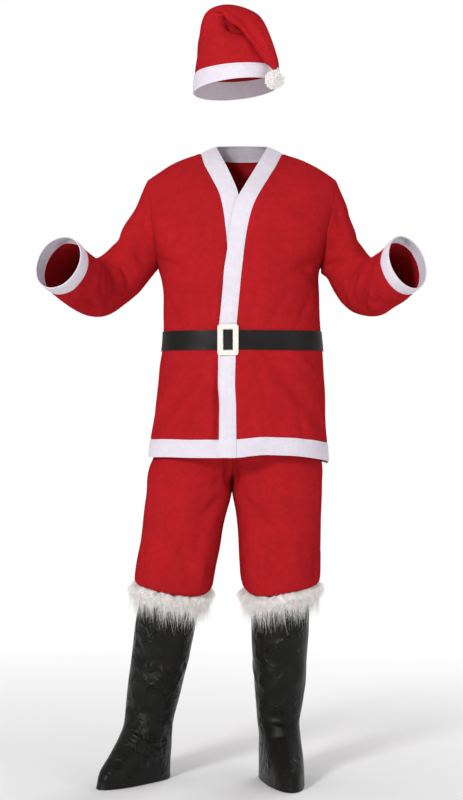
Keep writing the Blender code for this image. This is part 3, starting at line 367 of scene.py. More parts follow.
BOOT_CREASES = [
    (-239, -50, -1307, -193, -60, -1270, 5, 2.2), (-193, -60, -1270, -190, -60, -1232, 5, 2),
    (-239, -50, -1307, -261, -40, -1362, 5, -2.4), (-261, -40, -1256, -222, -60, -1244, 5, 2),
    (-252, -30, -1180, -236, -50, -1214, 5, -2), (-215, -60, -1190, -170, -50, -1206, 6, -1.6),
    (-262, -30, -1318, -246, -50, -1345, 5, 2), (-225, -60, -1352, -205, -62, -1318, 5, 2.2),
    (-205, -60, -1380, -168, -30, -1362, 6, -3), (-232, -70, -1400, -180, -40, -1392, 6, 3),
    (-270, -40, -1392, -225, -80, -1418, 7, -3.5), (-250, 60, -1300, -200, 70, -1335, 7, -2.5),
    (-245, 66, -1385, -185, 60, -1372, 7, -3), (-235, 70, -1402, -190, 60, -1410, 7, 3),
    (-225, 76, -1180, -175, 60, -1212, 7, -2.2), (-165, 0, -1230, -160, -30, -1290, 6, 2),
    (60, -60, -1162, 118, -62, -1150, 6, -2), (48, -50, -1190, 100, -62, -1184, 5, 2),
    (72, -62, -1208, 126, -50, -1216, 5, -1.8), (56, -60, -1250, 84, -62, -1282, 5, 2),
    (84, -62, -1282, 108, -60, -1262, 5, 2), (84, -62, -1290, 86, -62, -1340, 4, 2.2),
    (112, -55, -1235, 134, -40, -1262, 5, -2), (52, -50, -1330, 70, -62, -1352, 6, 2),
    (104, -60, -1362, 132, -40, -1346, 6, -3), (60, -64, -1384, 112, -64, -1396, 6, 3),
    (50, -76, -1412, 124, -80, -1404, 7, -3.5), (60, 70, -1310, 105, 66, -1340, 7, -2.5),
    (58, 66, -1380, 118, 62, -1368, 7, -3), (64, 66, -1404, 120, 60, -1410, 7, 3),
    (55, 76, -1180, 100, 66, -1206, 7, -2.2), (45, 20, -1230, 40, -20, -1290, 6, 2),
]
HAT_CREASES = [
    (-68, -86, 338, -42, -104, 322, 4.5, -8), (-44, -93, 317, -8, -84, 282, 8.5, -12),
    (-52, -106, 332, 2, -121, 292, 7, 8.5), (0, -118, 280, 52, -126, 208, 5, -8),
    (-100, -70, 240, -70, -95, 320, 11, -3), (-50, -120, 230, -30, -100, 310, 12, -3),
    (60, -100, 240, 30, -100, 300, 10, -3.5), (20, -128, 220, 0, -118, 290, 10, 3),
    (70, -60, 230, 45, -40, 300, 11, -3), (-90, 40, 240, -40, 40, 310, 12, -3.5),
    (20, 70, 230, 0, 30, 300, 12, -3.5), (60, 30, 240, 30, 0, 300, 11, 3),
    (-10, -122, 318, 40, -128, 250, 8, -2.5), (30, -125, 300, 66, -130, 225, 7, 2),
    (-100, 0, 230, -80, -10, 300, 11, 3), (2, -121, 288, 58, -130, 212, 6, 3.5),
]


# Finishes ------------

def set_up(thing, **settings):
    """Give a thing its named settings."""
    for key, value in settings.items():
        setattr(thing, key, value)
    return thing


class Nodes:
    """A node tree, and short ways to add to it."""

    def __init__(self, tree):
        self.tree = tree

    def put(self, node, values):
        """Set or link a node's inputs."""
        for key, value in dict(values).items():
            if isinstance(value, bpy.types.NodeSocket):
                self.tree.links.new(value, node.inputs[key])
            else:
                node.inputs[key].default_value = value

    def add(self, kind, values=(), **settings):
        node = set_up(self.tree.nodes.new(kind), **settings)
        self.put(node, values)
        return node

    def shader(self, values):
        self.put(self.tree.nodes["Principled BSDF"], values)

    def place(self):
        return self.add("ShaderNodeTexCoord").outputs["Object"]

    def noise(self, vector, scale, detail=3.0, roughness=0.55, stretch=0.0):
        return self.add("ShaderNodeTexNoise", {
            "Vector": vector, "Scale": scale, "Detail": detail, "Roughness": roughness,
            "Distortion": stretch}).outputs[0]

    def spread(self, value, low, high, to_low=0.0, to_high=1.0):
        return self.add("ShaderNodeMapRange", {
            "Value": value, "From Min": low, "From Max": high, "To Min": to_low,
            "To Max": to_high}).outputs[0]

    def maths(self, operation, one, two=0.0):
        return self.add("ShaderNodeMath", {0: one, 1: two}, operation=operation).outputs[0]

    def mix(self, share, one, two):
        return self.add("ShaderNodeMix", {0: share, 6: one, 7: two}, data_type="RGBA").outputs[2]


def group(name, inputs, build):
    """A shader node group that makes a colour, a height and a roughness at a place."""
    tree = bpy.data.node_groups.new(name, "ShaderNodeTree")
    tree.interface.new_socket("Place", in_out="INPUT", socket_type="NodeSocketVector")
    for label, value in inputs.items():
        kind = "NodeSocketFloat" if isinstance(value, float) else "NodeSocketColor"
        tree.interface.new_socket(label, in_out="INPUT", socket_type=kind).default_value = value
    for label, kind in (("Colour", "Color"), ("Height", "Float"), ("Roughness", "Float")):
        tree.interface.new_socket(label, in_out="OUTPUT", socket_type="NodeSocket" + kind)
    nodes = Nodes(tree)
    made = build(nodes, nodes.add("NodeGroupInput").outputs)
    nodes.add("NodeGroupOutput", zip(("Colour", "Height", "Roughness"), made))
    return tree


def felt_nap(nodes, given):
    """Pressed felt: short matted fibres, faint mottling, and a worn bloom here and there."""
    place = given["Place"]
    fibres = nodes.noise(place, given["Fibre scale"], 4.0, 0.7, 1.6)
    matted = nodes.noise(place, 260.0, 3.0, 0.6, 0.8)
    patches = nodes.noise(place, 14.0, 3.0, 0.6)
    smudges = nodes.noise(place, 75.0, 4.0, 0.65)
    fleck = nodes.maths("MULTIPLY", nodes.spread(fibres, 0.3, 0.72), given["Fleck"])
    tone = nodes.mix(fleck, given["Colour"], given["Light"])
    for mottle, low, high, most in ((matted, 0.3, 0.75, 0.5), (smudges, 0.4, 0.72, 0.5),
                                    (patches, 0.38, 0.66, 0.4)):
        tone = nodes.mix(nodes.spread(mottle, low, high, 0.0, most), tone, given["Dark"])
    height = nodes.maths("ADD", fibres, nodes.maths("MULTIPLY", matted, 0.8))
    return tone, height, nodes.spread(matted, 0.3, 0.7, 0.82, 0.97)


def leather_grain(nodes, given):
    """Leatherette: pebbled grain, fine wrinkles, soft broken crumples and dull scuffs."""
    place = given["Place"]
    pebbles = nodes.add("ShaderNodeTexVoronoi", {"Vector": place, "Scale": given["Grain scale"],
                                                 "Randomness": 1.0}).outputs["Distance"]
    wrinkles = nodes.noise(place, given["Wrinkle scale"], 4.0, 0.6, 1.2)
    scuffed = nodes.spread(nodes.noise(place, 22.0, 5.0, 0.65, 0.6), 0.5, 0.72)
    height = nodes.maths("ADD", nodes.maths("MULTIPLY", pebbles, -0.35),
                         nodes.maths("MULTIPLY", wrinkles, 1.2))
    broken = nodes.spread(nodes.noise(place, 13.0, 2.0), 0.42, 0.62)
    for scale in (6.0, 10.0, 17.0):
        bent = nodes.maths("SUBTRACT", nodes.noise(place, scale, 1.0, 0.4, 1.6), 0.5)
        line = nodes.spread(nodes.maths("ABSOLUTE", bent), 0.0, 0.11, 1.0, 0.0)
        line = nodes.maths("MULTIPLY", nodes.maths("POWER", line, 2.0), broken)
        height = nodes.maths("ADD", height, nodes.maths("MULTIPLY", line, given["Crumple"]))
    colour = nodes.mix(nodes.maths("MULTIPLY", scuffed, 0.5), given["Colour"], given["Scuff"])
    return colour, height, nodes.spread(scuffed, 0.0, 1.0, given["Gloss"], given["Dull"])


def finish(name, sockets, effect=None, values=(), bump=0.5, depth=0.4 * MM):
    """A material whose shader takes an effect's colour, roughness and height."""
    made = bpy.data.materials.new(name)
    made.use_nodes = True
    nodes = Nodes(made.node_tree)
    nodes.shader(sockets)
    if effect:
        given = nodes.add("ShaderNodeGroup", {"Place": nodes.place(), **dict(values)},
                          node_tree=effect).outputs
        raised = nodes.add("ShaderNodeBump", {"Strength": bump, "Distance": depth,
                                              "Height": given["Height"]})
        nodes.shader({"Base Color": given["Colour"], "Roughness": given["Roughness"],
                      "Normal": raised.outputs[0]})
    return made


def fur_finish():
    """Fur and wool: painted shade makes them darker and warmer in their depth and pale at their
    tips, and a faint painted glow lifts them.
    """
    made = finish("white fur", {"Roughness": 0.6, "Sheen Weight": 0.3, "Sheen Roughness": 0.5,
                                "Emission Strength": 0.13})     # painted glow: the hairs give off a little light of their own colour
    # Painted shade: root is the colour given to the shade deep in the fur, tip the fur's own pale
    # colour.
    root, tip = (0.60, 0.57, 0.55, 1), (0.98, 0.97, 0.96, 1)
    nodes = Nodes(made.node_tree)
    # Each point's tone, from the hairs' roots out to their tips, sets how much painted shade it
    # takes.
    tone = nodes.add("ShaderNodeAttribute", attribute_name="tone").outputs["Fac"]
    patches = nodes.spread(nodes.noise(nodes.place(), 60.0), 0.35, 0.7, 0.0, 0.4)
    colour = nodes.mix(patches, nodes.mix(nodes.spread(tone, 0.0, 0.85), root, tip), root)
    # The painted glow takes the hairs' own colour, painted shade and all.
    nodes.shader({"Base Color": colour, "Emission Color": colour})
    return made


def finishes():
    """Each kind's material. What a finish doesn't state is as its effect has it."""
    grey = (0.5, 0.5, 0.5, 1)
    nap = group("felt nap", {"Colour": grey, "Dark": grey, "Light": grey, "Fibre scale": 900.0,
                             "Fleck": 0.4}, felt_nap)
    grain = group("leatherette grain", {
        "Colour": grey, "Scuff": grey, "Grain scale": 700.0, "Wrinkle scale": 60.0,
        "Crumple": 0.0, "Gloss": 0.3, "Dull": 0.5}, leather_grain)
    return {
        "red": finish("red felt", {"Specular IOR Level": 0.0}, nap,
                      {"Colour": (0.44, 0.0135, 0.0175, 1), "Dark": (0.30, 0.010, 0.014, 1),
                       "Light": (0.53, 0.021, 0.027, 1)}),
        "white": finish("white felt", {"Sheen Weight": 0.10, "Sheen Roughness": 0.4,
                                       "Sheen Tint": (0.95, 0.93, 1, 1),
                                       "Specular IOR Level": 0.12}, nap,
                        {"Colour": (0.74, 0.70, 0.77, 1), "Dark": (0.63, 0.58, 0.66, 1),
                         "Light": (0.82, 0.79, 0.85, 1), "Fleck": 0.3}),
        "charcoal": finish("charcoal leatherette", {"Specular IOR Level": 0.17}, grain,
                           {"Colour": (0.009, 0.008, 0.0075, 1), "Scuff": (0.017, 0.015, 0.014, 1),
                            "Gloss": 0.45, "Dull": 0.6, "Wrinkle scale": 45.0}, 0.35, 0.5 * MM),
        "black": finish("black leatherette", {"Specular IOR Level": 0.17}, grain,
                        {"Colour": (0.0065, 0.006, 0.0055, 1), "Scuff": (0.010, 0.009, 0.008, 1),
                         "Gloss": 0.33, "Dull": 0.44, "Wrinkle scale": 38.0, "Crumple": 4.0},
                        0.7, 1.1 * MM),
        "cream": finish("cream plastic", {"Specular IOR Level": 0.5, "Coat Weight": 0.15}, grain,
                        {"Colour": (0.83, 0.79, 0.72, 1), "Scuff": (0.74, 0.69, 0.61, 1),
                         "Grain scale": 1400.0, "Gloss": 0.3, "Dull": 0.42}, 0.08, 0.15 * MM),
        "thread": finish("white thread", {"Base Color": (0.66, 0.62, 0.68, 1), "Roughness": 0.55}),
        "fur": fur_finish(),
    }


# Sections and grids ------------

def ramp(value, start=0.0, end=1.0):
    """Soft rise from 0 at the start to 1 at the end."""
    share = np.clip((value - start) / (end - start), 0.0, 1.0)
    return share * share * (3 - 2 * share)


def between(table, height):
    """Row of a table with heights in its first column, read at any height."""
    columns = np.array(sorted(table), float).T
    return [float(np.interp(height, columns[0], column)) for column in columns]


def swell(value):
    """A sine or cosine, squared off a little as a body's oval is."""
    return math.copysign(abs(value) ** (2 / ROUNDNESS), value)


def oval(degrees, middle, half, depth, height):
    """Point of an oval section: 0 is the front's middle, 90 the left side, 180 the back."""
    turn = math.radians(degrees)
    return Vector((middle + half * swell(math.sin(turn)), -depth * swell(math.cos(turn)), height))


def oval_angle(x, middle, half):
    """Angle of the front half's point with this x."""
    share = (x - middle) / half
    return math.degrees(math.copysign(math.asin(min(abs(share), 1.0) ** (ROUNDNESS / 2)), share))


def ring(centre, one, other, count):
    """Points all round a section, from one half axis over the other."""
    turns = [2 * math.pi * k / count for k in range(count)]
    return [Vector(centre) + one * math.cos(turn) + other * math.sin(turn) for turn in turns]


def finer(grid, times, closed=False):
    """Rows of a grid with soft curves read between them, each one passing through every row."""
    if closed:
        around = np.concatenate([grid[-1:], grid, grid[:2]])
    else:
        around = np.concatenate([2 * grid[:1] - grid[1:2], grid, 2 * grid[-1:] - grid[-2:-1]])
    result = []
    for k in range(len(around) - 3):
        before, one, two, after = around[k:k + 4]
        for t in np.arange(times) / times:
            result.append(one + 0.5 * t * (two - before + t * (2 * before - 5 * one + 4 * two - after
                          + t * (3 * (one - two) + after - before))))
    if not closed:
        result.append(grid[-1])
    return np.array(result)


def refined(grid, down=DOWN, around=ROUND, closed=False):
    """A table's grid in millimetres, as a fine grid in metres."""
    rows = finer(np.array([[tuple(point) for point in row] for row in grid]) * MM, down)
    return np.swapaxes(finer(np.swapaxes(rows, 0, 1), around, closed), 0, 1)


def unit(vectors):
    return vectors / np.maximum(np.linalg.norm(vectors, axis=-1, keepdims=True), 1e-12)


class Cloth:
    """A grid of outer points with their outward normals, in metres."""

    def __init__(self, points, normals=None, closed=False):
        self.points, self.closed = points, closed
        self.normals = self.facing() if normals is None else normals

    def facing(self, inside=None):
        """Normals that point away from a place inside, or from the middle of the rows."""
        along, across = np.gradient(self.points, axis=(0, 1))
        if self.closed:
            across = np.roll(self.points, -1, 1) - np.roll(self.points, 1, 1)
        result = unit(np.cross(across, along))
        i, j = self.points.shape[0] // 2, self.points.shape[1] // 2
        core = self.points[i].mean(axis=0) if inside is None else inside
        return -result if result[i, j].dot(self.points[i, j] - core) < 0 else result

    def __getitem__(self, chosen):
        """The stretch of the cloth with these rows, and all round if no columns are given."""
        return Cloth(self.points[chosen].copy(), self.normals[chosen].copy(),
                     self.closed and not isinstance(chosen, tuple))

    def lift(self, height):
        """The same grid with each point moved out along its normal."""
        self.points = self.points + self.normals * height[..., None]
        return self


def joined(stretches, closed=False):
    """One grid of stretches that follow each other round the body."""
    return Cloth(*(np.concatenate([getattr(cloth, kind) for cloth in stretches], axis=1)
                   for kind in ("points", "normals")), closed)


def edge_row(edge, number=0):
    """The index of the line of points that lies this many lines in from an edge."""
    axis, sign = EDGES[edge]
    line = number if sign > 0 else -1 - number
    return (line, slice(None)) if axis == 0 else (slice(None), line)


def weld(cloth, edge, target, fade, chosen=slice(None)):
    """Bring an edge of a grid onto a line of points, and the lines behind it part of the way."""
    change = target - cloth.points[edge_row(edge)][chosen]
    for number in range(fade):
        line = cloth.points[edge_row(edge, number)]
        line[chosen] += change * (1 - ramp(number, 0, fade))
    cloth.points[edge_row(edge)][chosen] = target


def sew(one, one_edge, other, other_edge, rows=slice(None)):
    """Bring two panels' edges onto one line, half way between them."""
    middle = (one.points[edge_row(one_edge)][rows] + other.points[edge_row(other_edge)][rows]) / 2
    weld(one, one_edge, middle, ROUND, rows)
    weld(other, other_edge, middle, ROUND, rows)


def join_seams(groups):
    """Give the pieces that meet along a seam common normals, first in each group of pieces,
    and then between the groups."""
    shared = {}
    for number, pieces in enumerate(groups):
        for cloth in pieces:
            for i, j in rim(cloth):
                key = tuple(np.round(cloth.points[i, j] / SAME_POINT).astype(int))
                shared.setdefault(key, {}).setdefault(number, []).append((cloth, i, j))
    for sides in shared.values():
        common = sum(unit(sum(c.normals[i, j] for c, i, j in places)) for places in sides.values())
        for places in sides.values():
            for cloth, i, j in places:
                cloth.normals[i, j] = unit(common)


def rim(cloth):
    """Row and column of each point on a grid's edges."""
    rows, columns = cloth.points.shape[:2]
    places = {(i, j) for i in (0, rows - 1) for j in range(columns)}
    if not cloth.closed:
        places |= {(i, j) for i in range(rows) for j in (0, columns - 1)}
    return sorted(places)


def laid(folds, cloths, strength=1.0):
    """Each fold as a line of points on the cloths that it lies nearest."""
    points, normals = (np.concatenate([getattr(cloth, kind).reshape(-1, 3) for cloth in cloths])
                       for kind in ("points", "normals"))
    lines = []
    for *ends, reach, rise in folds:
        line = np.linspace(ends[:3], ends[3:], FOLD_STEPS) * MM
        for place in line:
            near = np.linalg.norm(points - place, axis=1).argmin()
            shift = (points[near] - place).dot(normals[near])
            if abs(shift) < FOLD_NEAR:
                place += normals[near] * shift
        lines.append((line, reach * MM, rise * strength * MM))
    return lines


def pressed(points, lines):
    """How far folds raise or sink the points of a cloth: each is soft, and fades at its ends."""
    height = np.zeros(points.shape[:-1])
    for line, reach, rise in lines:
        close = np.linalg.norm(points - line.mean(axis=0), axis=-1)
        close = close < np.linalg.norm(line[-1] - line[0]) / 2 + 3 * reach
        here = points[close]
        best, place = np.full(len(here), np.inf), np.zeros(len(here))
        for number, (start, end) in enumerate(zip(line, line[1:])):
            along = end - start
            share = np.clip((here - start) @ along / along.dot(along), 0, 1)
            away = np.linalg.norm(here - start - share[:, None] * along, axis=1) / reach
            place = np.where(away < best, (number + share) / (FOLD_STEPS - 1), place)
            best = np.minimum(best, away)
        soft = np.sin(math.pi * (FOLD_END + (1 - 2 * FOLD_END) * place))
        height[close] += rise * np.exp(-best ** 2) * soft
    return height


def uneven(points, size, height):
    """A soft unevenness: crossed waves of this size, of no one direction."""
    x, y, z = np.moveaxis(points / size, -1, 0)
    waves = (np.sin(1.0 * x + 1.7 * z + 1.3 * np.sin(0.9 * y))
             + np.sin(-1.4 * y + 1.1 * z + 1.1 * np.sin(1.2 * x))
             + np.sin(1.9 * x - 1.2 * y + 0.6 * z + 0.9 * np.sin(1.1 * z)))
    return height * waves / 3


def crease(cloths, lesser, wave, height):
    """The large folds, the lesser ones and a soft unevenness, all pressed in."""
    lines = laid(FOLDS, cloths) + laid(lesser, cloths, LESSER)
    for cloth in cloths:
        cloth.lift(pressed(cloth.points, lines) + uneven(cloth.points, wave, height))


def lengths(points, axis):
    """Length of the cloth from its first line to each point, along an axis."""
    steps = np.linalg.norm(np.diff(points, axis=axis, prepend=np.take(points, [0], axis)), axis=-1)
    return np.cumsum(steps, axis=axis)


# Making a piece ------------

def gridded(points):
    """A bmesh grid through these points, in their order."""
    rows, columns = points.shape[:2]
    bm = bmesh.new()
    bmesh.ops.create_grid(bm, x_segments=columns - 1, y_segments=rows - 1, size=1)
    bm.verts.index_update()
    for vert in bm.verts:
        vert.co = points[divmod(vert.index, columns)]
    return bm


def closing(points):
    """The points of a ring of cloth, with the first column again at the end."""
    return np.concatenate([points, points[:, :1]], axis=1)


def as_mesh(name, bm, look):
    mesh = bpy.data.meshes.new(name)
    bm.to_mesh(mesh)
    bm.free()
    mesh.materials.append(look)
    return mesh


def make(name, bm, kind, node, tones=None):
    """A piece of the suit that stands for a node, with how far each point lies out on a hair, a tone
    that sets the fur's painted shade.
    """
    mesh = as_mesh(name, bm, LOOK[kind])
    mesh.shade_smooth()
    if tones is not None:
        tones = np.broadcast_to(tones, len(mesh.vertices)).astype(np.float32)
        mesh.attributes.new("tone", "FLOAT", "POINT").data.foreach_set("value", tones)
    piece = bpy.data.objects.new(name, mesh)
    bpy.context.collection.objects.link(piece)
    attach(piece, "root")
    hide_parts(node)
    KINDS[kind][0]
    return piece


def shell(name, cloth, kind, node, proud=0.0, rounded=SOFT_EDGE, wall=None):
    """Thin wall on a grid: its outer face, and a wall of the kind's thickness behind it."""
    outer = cloth.points + cloth.normals * np.asarray(proud)[..., None]
    if cloth.closed:
        outer = closing(outer)
    around, along = lengths(outer, 1), lengths(outer, 0)
    bm = gridded(outer)
    chart = bm.loops.layers.uv.new("UVMap")
    for face in bm.faces:
        for loop in face.loops:
            place = divmod(loop.vert.index, outer.shape[1])
            loop[chart].uv = around[place], along[place]
    if cloth.closed:
        bmesh.ops.remove_doubles(bm, verts=bm.verts, dist=DOUBLES)
    bm.normal_update()
    bm.faces.ensure_lookup_table()
    middle = bm.faces[len(bm.faces) // 2]
    away = np.linalg.norm(cloth.points - np.array(middle.calc_center_median()), axis=-1)
    nearest = np.unravel_index(away.argmin(), away.shape)
    if middle.normal.dot(Vector(cloth.normals[nearest])) < 0:
        bmesh.ops.reverse_faces(bm, faces=bm.faces)
    area = sum(face.calc_area() for face in bm.faces)
    piece = make(name, bm, kind, node)
    set_up(piece.modifiers.new("wall", "SOLIDIFY"), thickness=wall or KINDS[kind][1], offset=-1)
    if rounded:
        set_up(piece.modifiers.new("soft edge", "BEVEL"), width=rounded, segments=2,
               limit_method="ANGLE", angle_limit=math.radians(EDGE_ANGLE), harden_normals=True)
    flat = float(around[:, -1].max()), float(along[-1].max())
    min(area, flat[0] * flat[1])


def panel(name, cloth, edges, node, **kept):
    """A red felt piece, which dips along its sewn edges."""
    dip = np.zeros(cloth.points.shape[:2])
    for edge in edges:
        line = cloth.points[edge_row(edge)]
        for number in range(SEAM_LINES):
            place = edge_row(edge, number)
            away = np.linalg.norm(cloth.points[place] - line, axis=-1) / SEAM_REACH
            dip[place] = np.minimum(dip[place], -SEAM_DIP * np.exp(-away ** 2))
    shell(name, cloth.lift(dip), "red", node, **kept)


def strip(name, cloth, edges, node, sewn=(), inset=1, proud=TRIM_PROUD):
    """A white strip, fullest in its middle, less along its turned edges, sewn on along some."""
    rise = np.full(cloth.points.shape[:2], TRIM_PROUD + STRIP_PUFF)
    for edge in edges:
        axis, sign = EDGES[edge]
        far = lengths(cloth.points, axis)
        if sign < 0:
            far = np.take(far, [-1], axis=axis) - far
        rise -= TURNED_FALL * np.exp(-(far / TURNED_REACH) ** 2)
    shell(name, cloth, "white", node, rise, TRIM_EDGE)
    lines = []
    for edge in sewn:
        place = edge_row(edge, inset)
        points, normals = cloth.points[place], cloth.normals[place]
        if cloth.closed:
            points, normals = (closing(line[None])[0] for line in (points, normals))
        above = rise[place][:, None] if proud is None else proud
        lines.append((points + normals * above, normals))
    if lines:
        stitches(name.replace("strip", "stitches"), lines, node)


def strands(name, roots, bends, tips, widths, sides, shades, curl, kind, node):
    """Hairs cut from one long ribbon: each bends from its root, past its bend, to its tip."""
    bm = bmesh.new()
    bmesh.ops.create_grid(bm, x_segments=1, y_segments=len(roots) * STRAND_ROWS - 1, size=1)
    bm.faces.ensure_lookup_table()
    between_hairs = bm.faces[:][STRAND_ROWS - 1::STRAND_ROWS]
    bmesh.ops.delete(bm, geom=between_hairs, context="FACES_ONLY")
    t = np.linspace(0, 1, STRAND_ROWS)[None, :, None]
    path = ((1 - t) ** 2 * roots[:, None] + 2 * t * (1 - t) * bends[:, None]
            + t ** 2 * tips[:, None] + curl[:, None] * np.sin(CURL_TURN * t) * t ** 2)
    half = sides[:, None] * widths[:, None, None] * (0.5 - TAPER * t ** TAPER_POWER)
    points = np.stack([path - half, path + half], axis=2)
    # Tone rises from each hair's root to its tip: painted shade, darkest deep in the fur.
    piece = make(name, bm, kind, node, np.repeat((shades[:, None] * t[0, :, 0]).ravel(), 2))
    piece.data.vertices.foreach_set("co", points.astype(np.float32).ravel())
    piece.data.update()


def stitches(name, lines, node):
    """Lockstitches along lines: each is a short thread, pulled down at both of its ends."""
    found = []
    for points, normals in lines:
        length = lengths(points, 0)
        middle = np.arange(STITCH_PITCH, length[-1] - STITCH_PITCH / 2, STITCH_PITCH)
        found.append([np.stack([np.interp(middle + off, length, line[:, k]) for k in range(3)], 1)
                      for off, line in ((-STITCH / 2, points), (STITCH / 2, points), (0, normals))])
    start, end, up = (np.concatenate(rows) for rows in zip(*found))
    centre, way, up = (start + end) / 2, unit(end - start), unit(up)
    down = up * STITCH_DIP
    count = len(centre)
    strands(name, centre - way * STITCH / 2 - down, centre + up * THREAD,
            centre + way * STITCH / 2 - down, np.full(count, THREAD), unit(np.cross(way, up)),
            np.ones(count), np.zeros((count, 3)), "thread", node)


# Jacket ------------

def steps(one, two, parts):
    """Even steps from one number or point to another."""
    return [one + (two - one) * j / parts for j in range(parts + 1)]


def hang(point):
    """The jacket's skirt: it hangs lower on the left and swings in soft flutes at the hem."""
    low = ramp(point.z, FLUTES_FROM, FLUTES_FULL)
    angle = math.atan2(point.x - SKIRT_X, -point.y)
    flute = 1 + low * sum(rise * math.cos(count * angle + start) for rise, count, start in FLUTES)
    drop = low * between(HEM_DROP, math.degrees(angle))[1]
    return Vector((point.x * flute, point.y * flute, point.z - drop))


def shoulder(neck, tip):
    """The shoulder seam, bowed up a little between the neck and the armhole."""
    return [place + Vector((0, 0, SHOULDER_RISE * 4 * s * (1 - s)))
            for s, place in zip(steps(0, 1, FRONT_PARTS), steps(neck, tip, FRONT_PARTS))]


def yoke_row(low, high, first, last, rise):
    """A row of the patch between four edges: underarm, shoulder, neck side and armhole."""
    return [below.lerp(above, rise) + first.lerp(last, s)
            - low[0].lerp(low[-1], s).lerp(high[0].lerp(high[-1], s), rise)
            for s, below, above in zip(steps(0, 1, len(low) - 1), low, high)]


def armhole(side, face):
    """Front or back edge of an armhole, from the underarm to the shoulder's tip."""
    return [Vector((x if side > 0 else -x - out, (front, back)[face], z))
            for (x, front, back, z), out in zip(ARMHOLE, RIGHT_ARMHOLE_OUT)]


def front_grid(side, strip_table, yoke):
    """Front from its free edge to the side seam and armhole, with the strip's columns first."""
    grid = []
    for z, right, left, depth, _ in TORSO:
        middle, half = (right + left) / 2, (left - right) / 2
        edge, seam = (oval_angle(x, middle, half) for x in between(strip_table, z)[1:])
        angles = steps(edge, seam, STRIP_PARTS)[:-1] + steps(seam, 90 * side, FRONT_PARTS)
        grid.append([hang(oval(angle, middle, half, depth, z)) for angle in angles])
    low, hole = grid[-1][STRIP_PARTS:], armhole(side, 0)
    high = shoulder(Vector(yoke[-1][3:]), hole[-1])
    for k in range(1, YOKE_ROWS + 1):
        edge, seam = Vector(yoke[k][:3]), Vector(yoke[k][3:])
        grid.append(steps(edge, seam, STRIP_PARTS)[:-1]
                    + yoke_row(low, high, seam, hole[k], k / YOKE_ROWS))
    return grid


def neckline(middle, side):
    """A quarter oval from the back's middle to the neck's side."""
    return [Vector((middle.x + (side.x - middle.x) * math.sin(turn),
                    side.y + (middle.y - side.y) * math.cos(turn),
                    middle.z + (side.z - middle.z) * (1 - math.cos(turn))))
            for turn in steps(0, math.pi / 2, NECK_PARTS)]


def back_grid():
    """Back from the left side seam, round the back's middle, to the right side seam."""
    parts = NECK_PARTS + FRONT_PARTS
    grid = []
    for z, right, left, _, depth in TORSO:
        middle, half = (right + left) / 2, (left - right) / 2
        grid.append([hang(oval(angle, middle, half, depth, z))
                     for angle in steps(90, 270, 2 * parts)])
    x, halves = grid[-1][parts].x, []
    for side, yoke, low in ((1, LEFT_YOKE, grid[-1][parts::-1]), (-1, RIGHT_YOKE, grid[-1][parts:])):
        neck, hole = Vector(yoke[-1][3:]), armhole(side, 1)
        middle = [Vector((across, *place)) for across, place in
                  zip(steps(x, x * MIDDLE_KEPT, YOKE_ROWS), BACK_MIDDLE)]
        high = neckline(middle[-1], neck)[:-1] + shoulder(neck, hole[-1])
        halves.append([yoke_row(low, high, middle[k], hole[k], k / YOKE_ROWS)
                       for k in range(1, YOKE_ROWS + 1)])
    return grid + [left_row[::-1] + right_row[1:] for left_row, right_row in zip(*halves)]


def neck_grid(back, left_front, right_front):
    """Neck strip from the back's neckline up to its free edge, from left to right."""
    rows = [back[-1][FRONT_PARTS:FRONT_PARTS + 2 * NECK_PARTS + 1]]
    for r in range(1, STRIP_PARTS + 1):
        left, right = left_front[-1][STRIP_PARTS - r], right_front[-1][STRIP_PARTS - r]
        middle = rows[0][NECK_PARTS].lerp(Vector(NECK_EDGE_BACK), r / STRIP_PARTS)
        rows.append(neckline(middle, left)[:0:-1] + neckline(middle, right))
    return rows


def sleeve_rings(side, table):
    """Rings down to the sleeve's rim; each starts on top and goes to the front."""
    rings = []
    for *centre, up, across, turn, lean in table:
        turn, lean = math.radians(turn), math.radians(lean)
        facing = Vector((side * math.cos(turn), -math.sin(turn), 0))
        front = Vector((-side * math.sin(turn), -math.cos(turn), 0))
        top = Vector((0, 0, 1)) * math.cos(lean) + facing * math.sin(lean)
        rings.append(ring(centre, top * up, front * across, 2 * YOKE_ROWS))
    return rings


def lap(points):
    """How far the left front stands out to lie over the right one."""
    x, z = points[..., 0] / MM, points[..., 2] / MM
    return LAP * MM * (1 - ramp(x, *LAP_X)) * (1 - ramp(z, *LAP_TOP))


def jacket_cloth():
    """The grids of the two fronts, the back, the neck strip and the sleeves, sewn together."""
    fronts = {1: front_grid(1, LEFT_STRIP, LEFT_YOKE), -1: front_grid(-1, RIGHT_STRIP, RIGHT_YOKE)}
    back_rows = back_grid()
    back = Cloth(refined(back_rows))
    neck = Cloth(refined(neck_grid(back_rows, fronts[1], fronts[-1]), ROUND))
    cloth = {"back": back, "neck": neck}
    low, span, edge = UNDERARM * DOWN, FRONT_PARTS * ROUND, STRIP_PARTS * ROUND
    for side, back_edge, column, line, table in (
            (1, "first", 0, back.points[-1, span::-1], LEFT_SLEEVE),
            (-1, "last", -1, back.points[-1, -1 - span:], RIGHT_SLEEVE)):
        front = cloth[side] = Cloth(refined(fronts[side]))
        sew(front, "last", back, back_edge, slice(0, low + 1))
        weld(front, "high", line, DOWN, slice(edge, None))
        hole = np.concatenate([front.points[:low:-1, -1], back.points[low:-1, column]])
        rows = ([row[-1] for row in fronts[side][:UNDERARM:-1]]
                + [row[column] for row in back_rows[UNDERARM:-1]])
        sleeve = Cloth(refined([rows] + sleeve_rings(side, table), ROUND, DOWN, closed=True),
                       closed=True)
        weld(sleeve, "low", hole, ROUND)
        cloth["sleeve", side] = sleeve
    weld(neck, "low", back.points[-1, span:-span], ROUND)
    weld(neck, "first", cloth[1].points[-1, edge::-1], ROUND)
    weld(neck, "last", cloth[-1].points[-1, edge::-1], ROUND)
    for piece in cloth.values():
        piece.normals = piece.facing((0, 0, 0) if piece is neck else None)
    arms = [cloth["sleeve", 1], cloth["sleeve", -1]]
    join_seams([[cloth[1], cloth[-1], back, neck], arms])
    return cloth


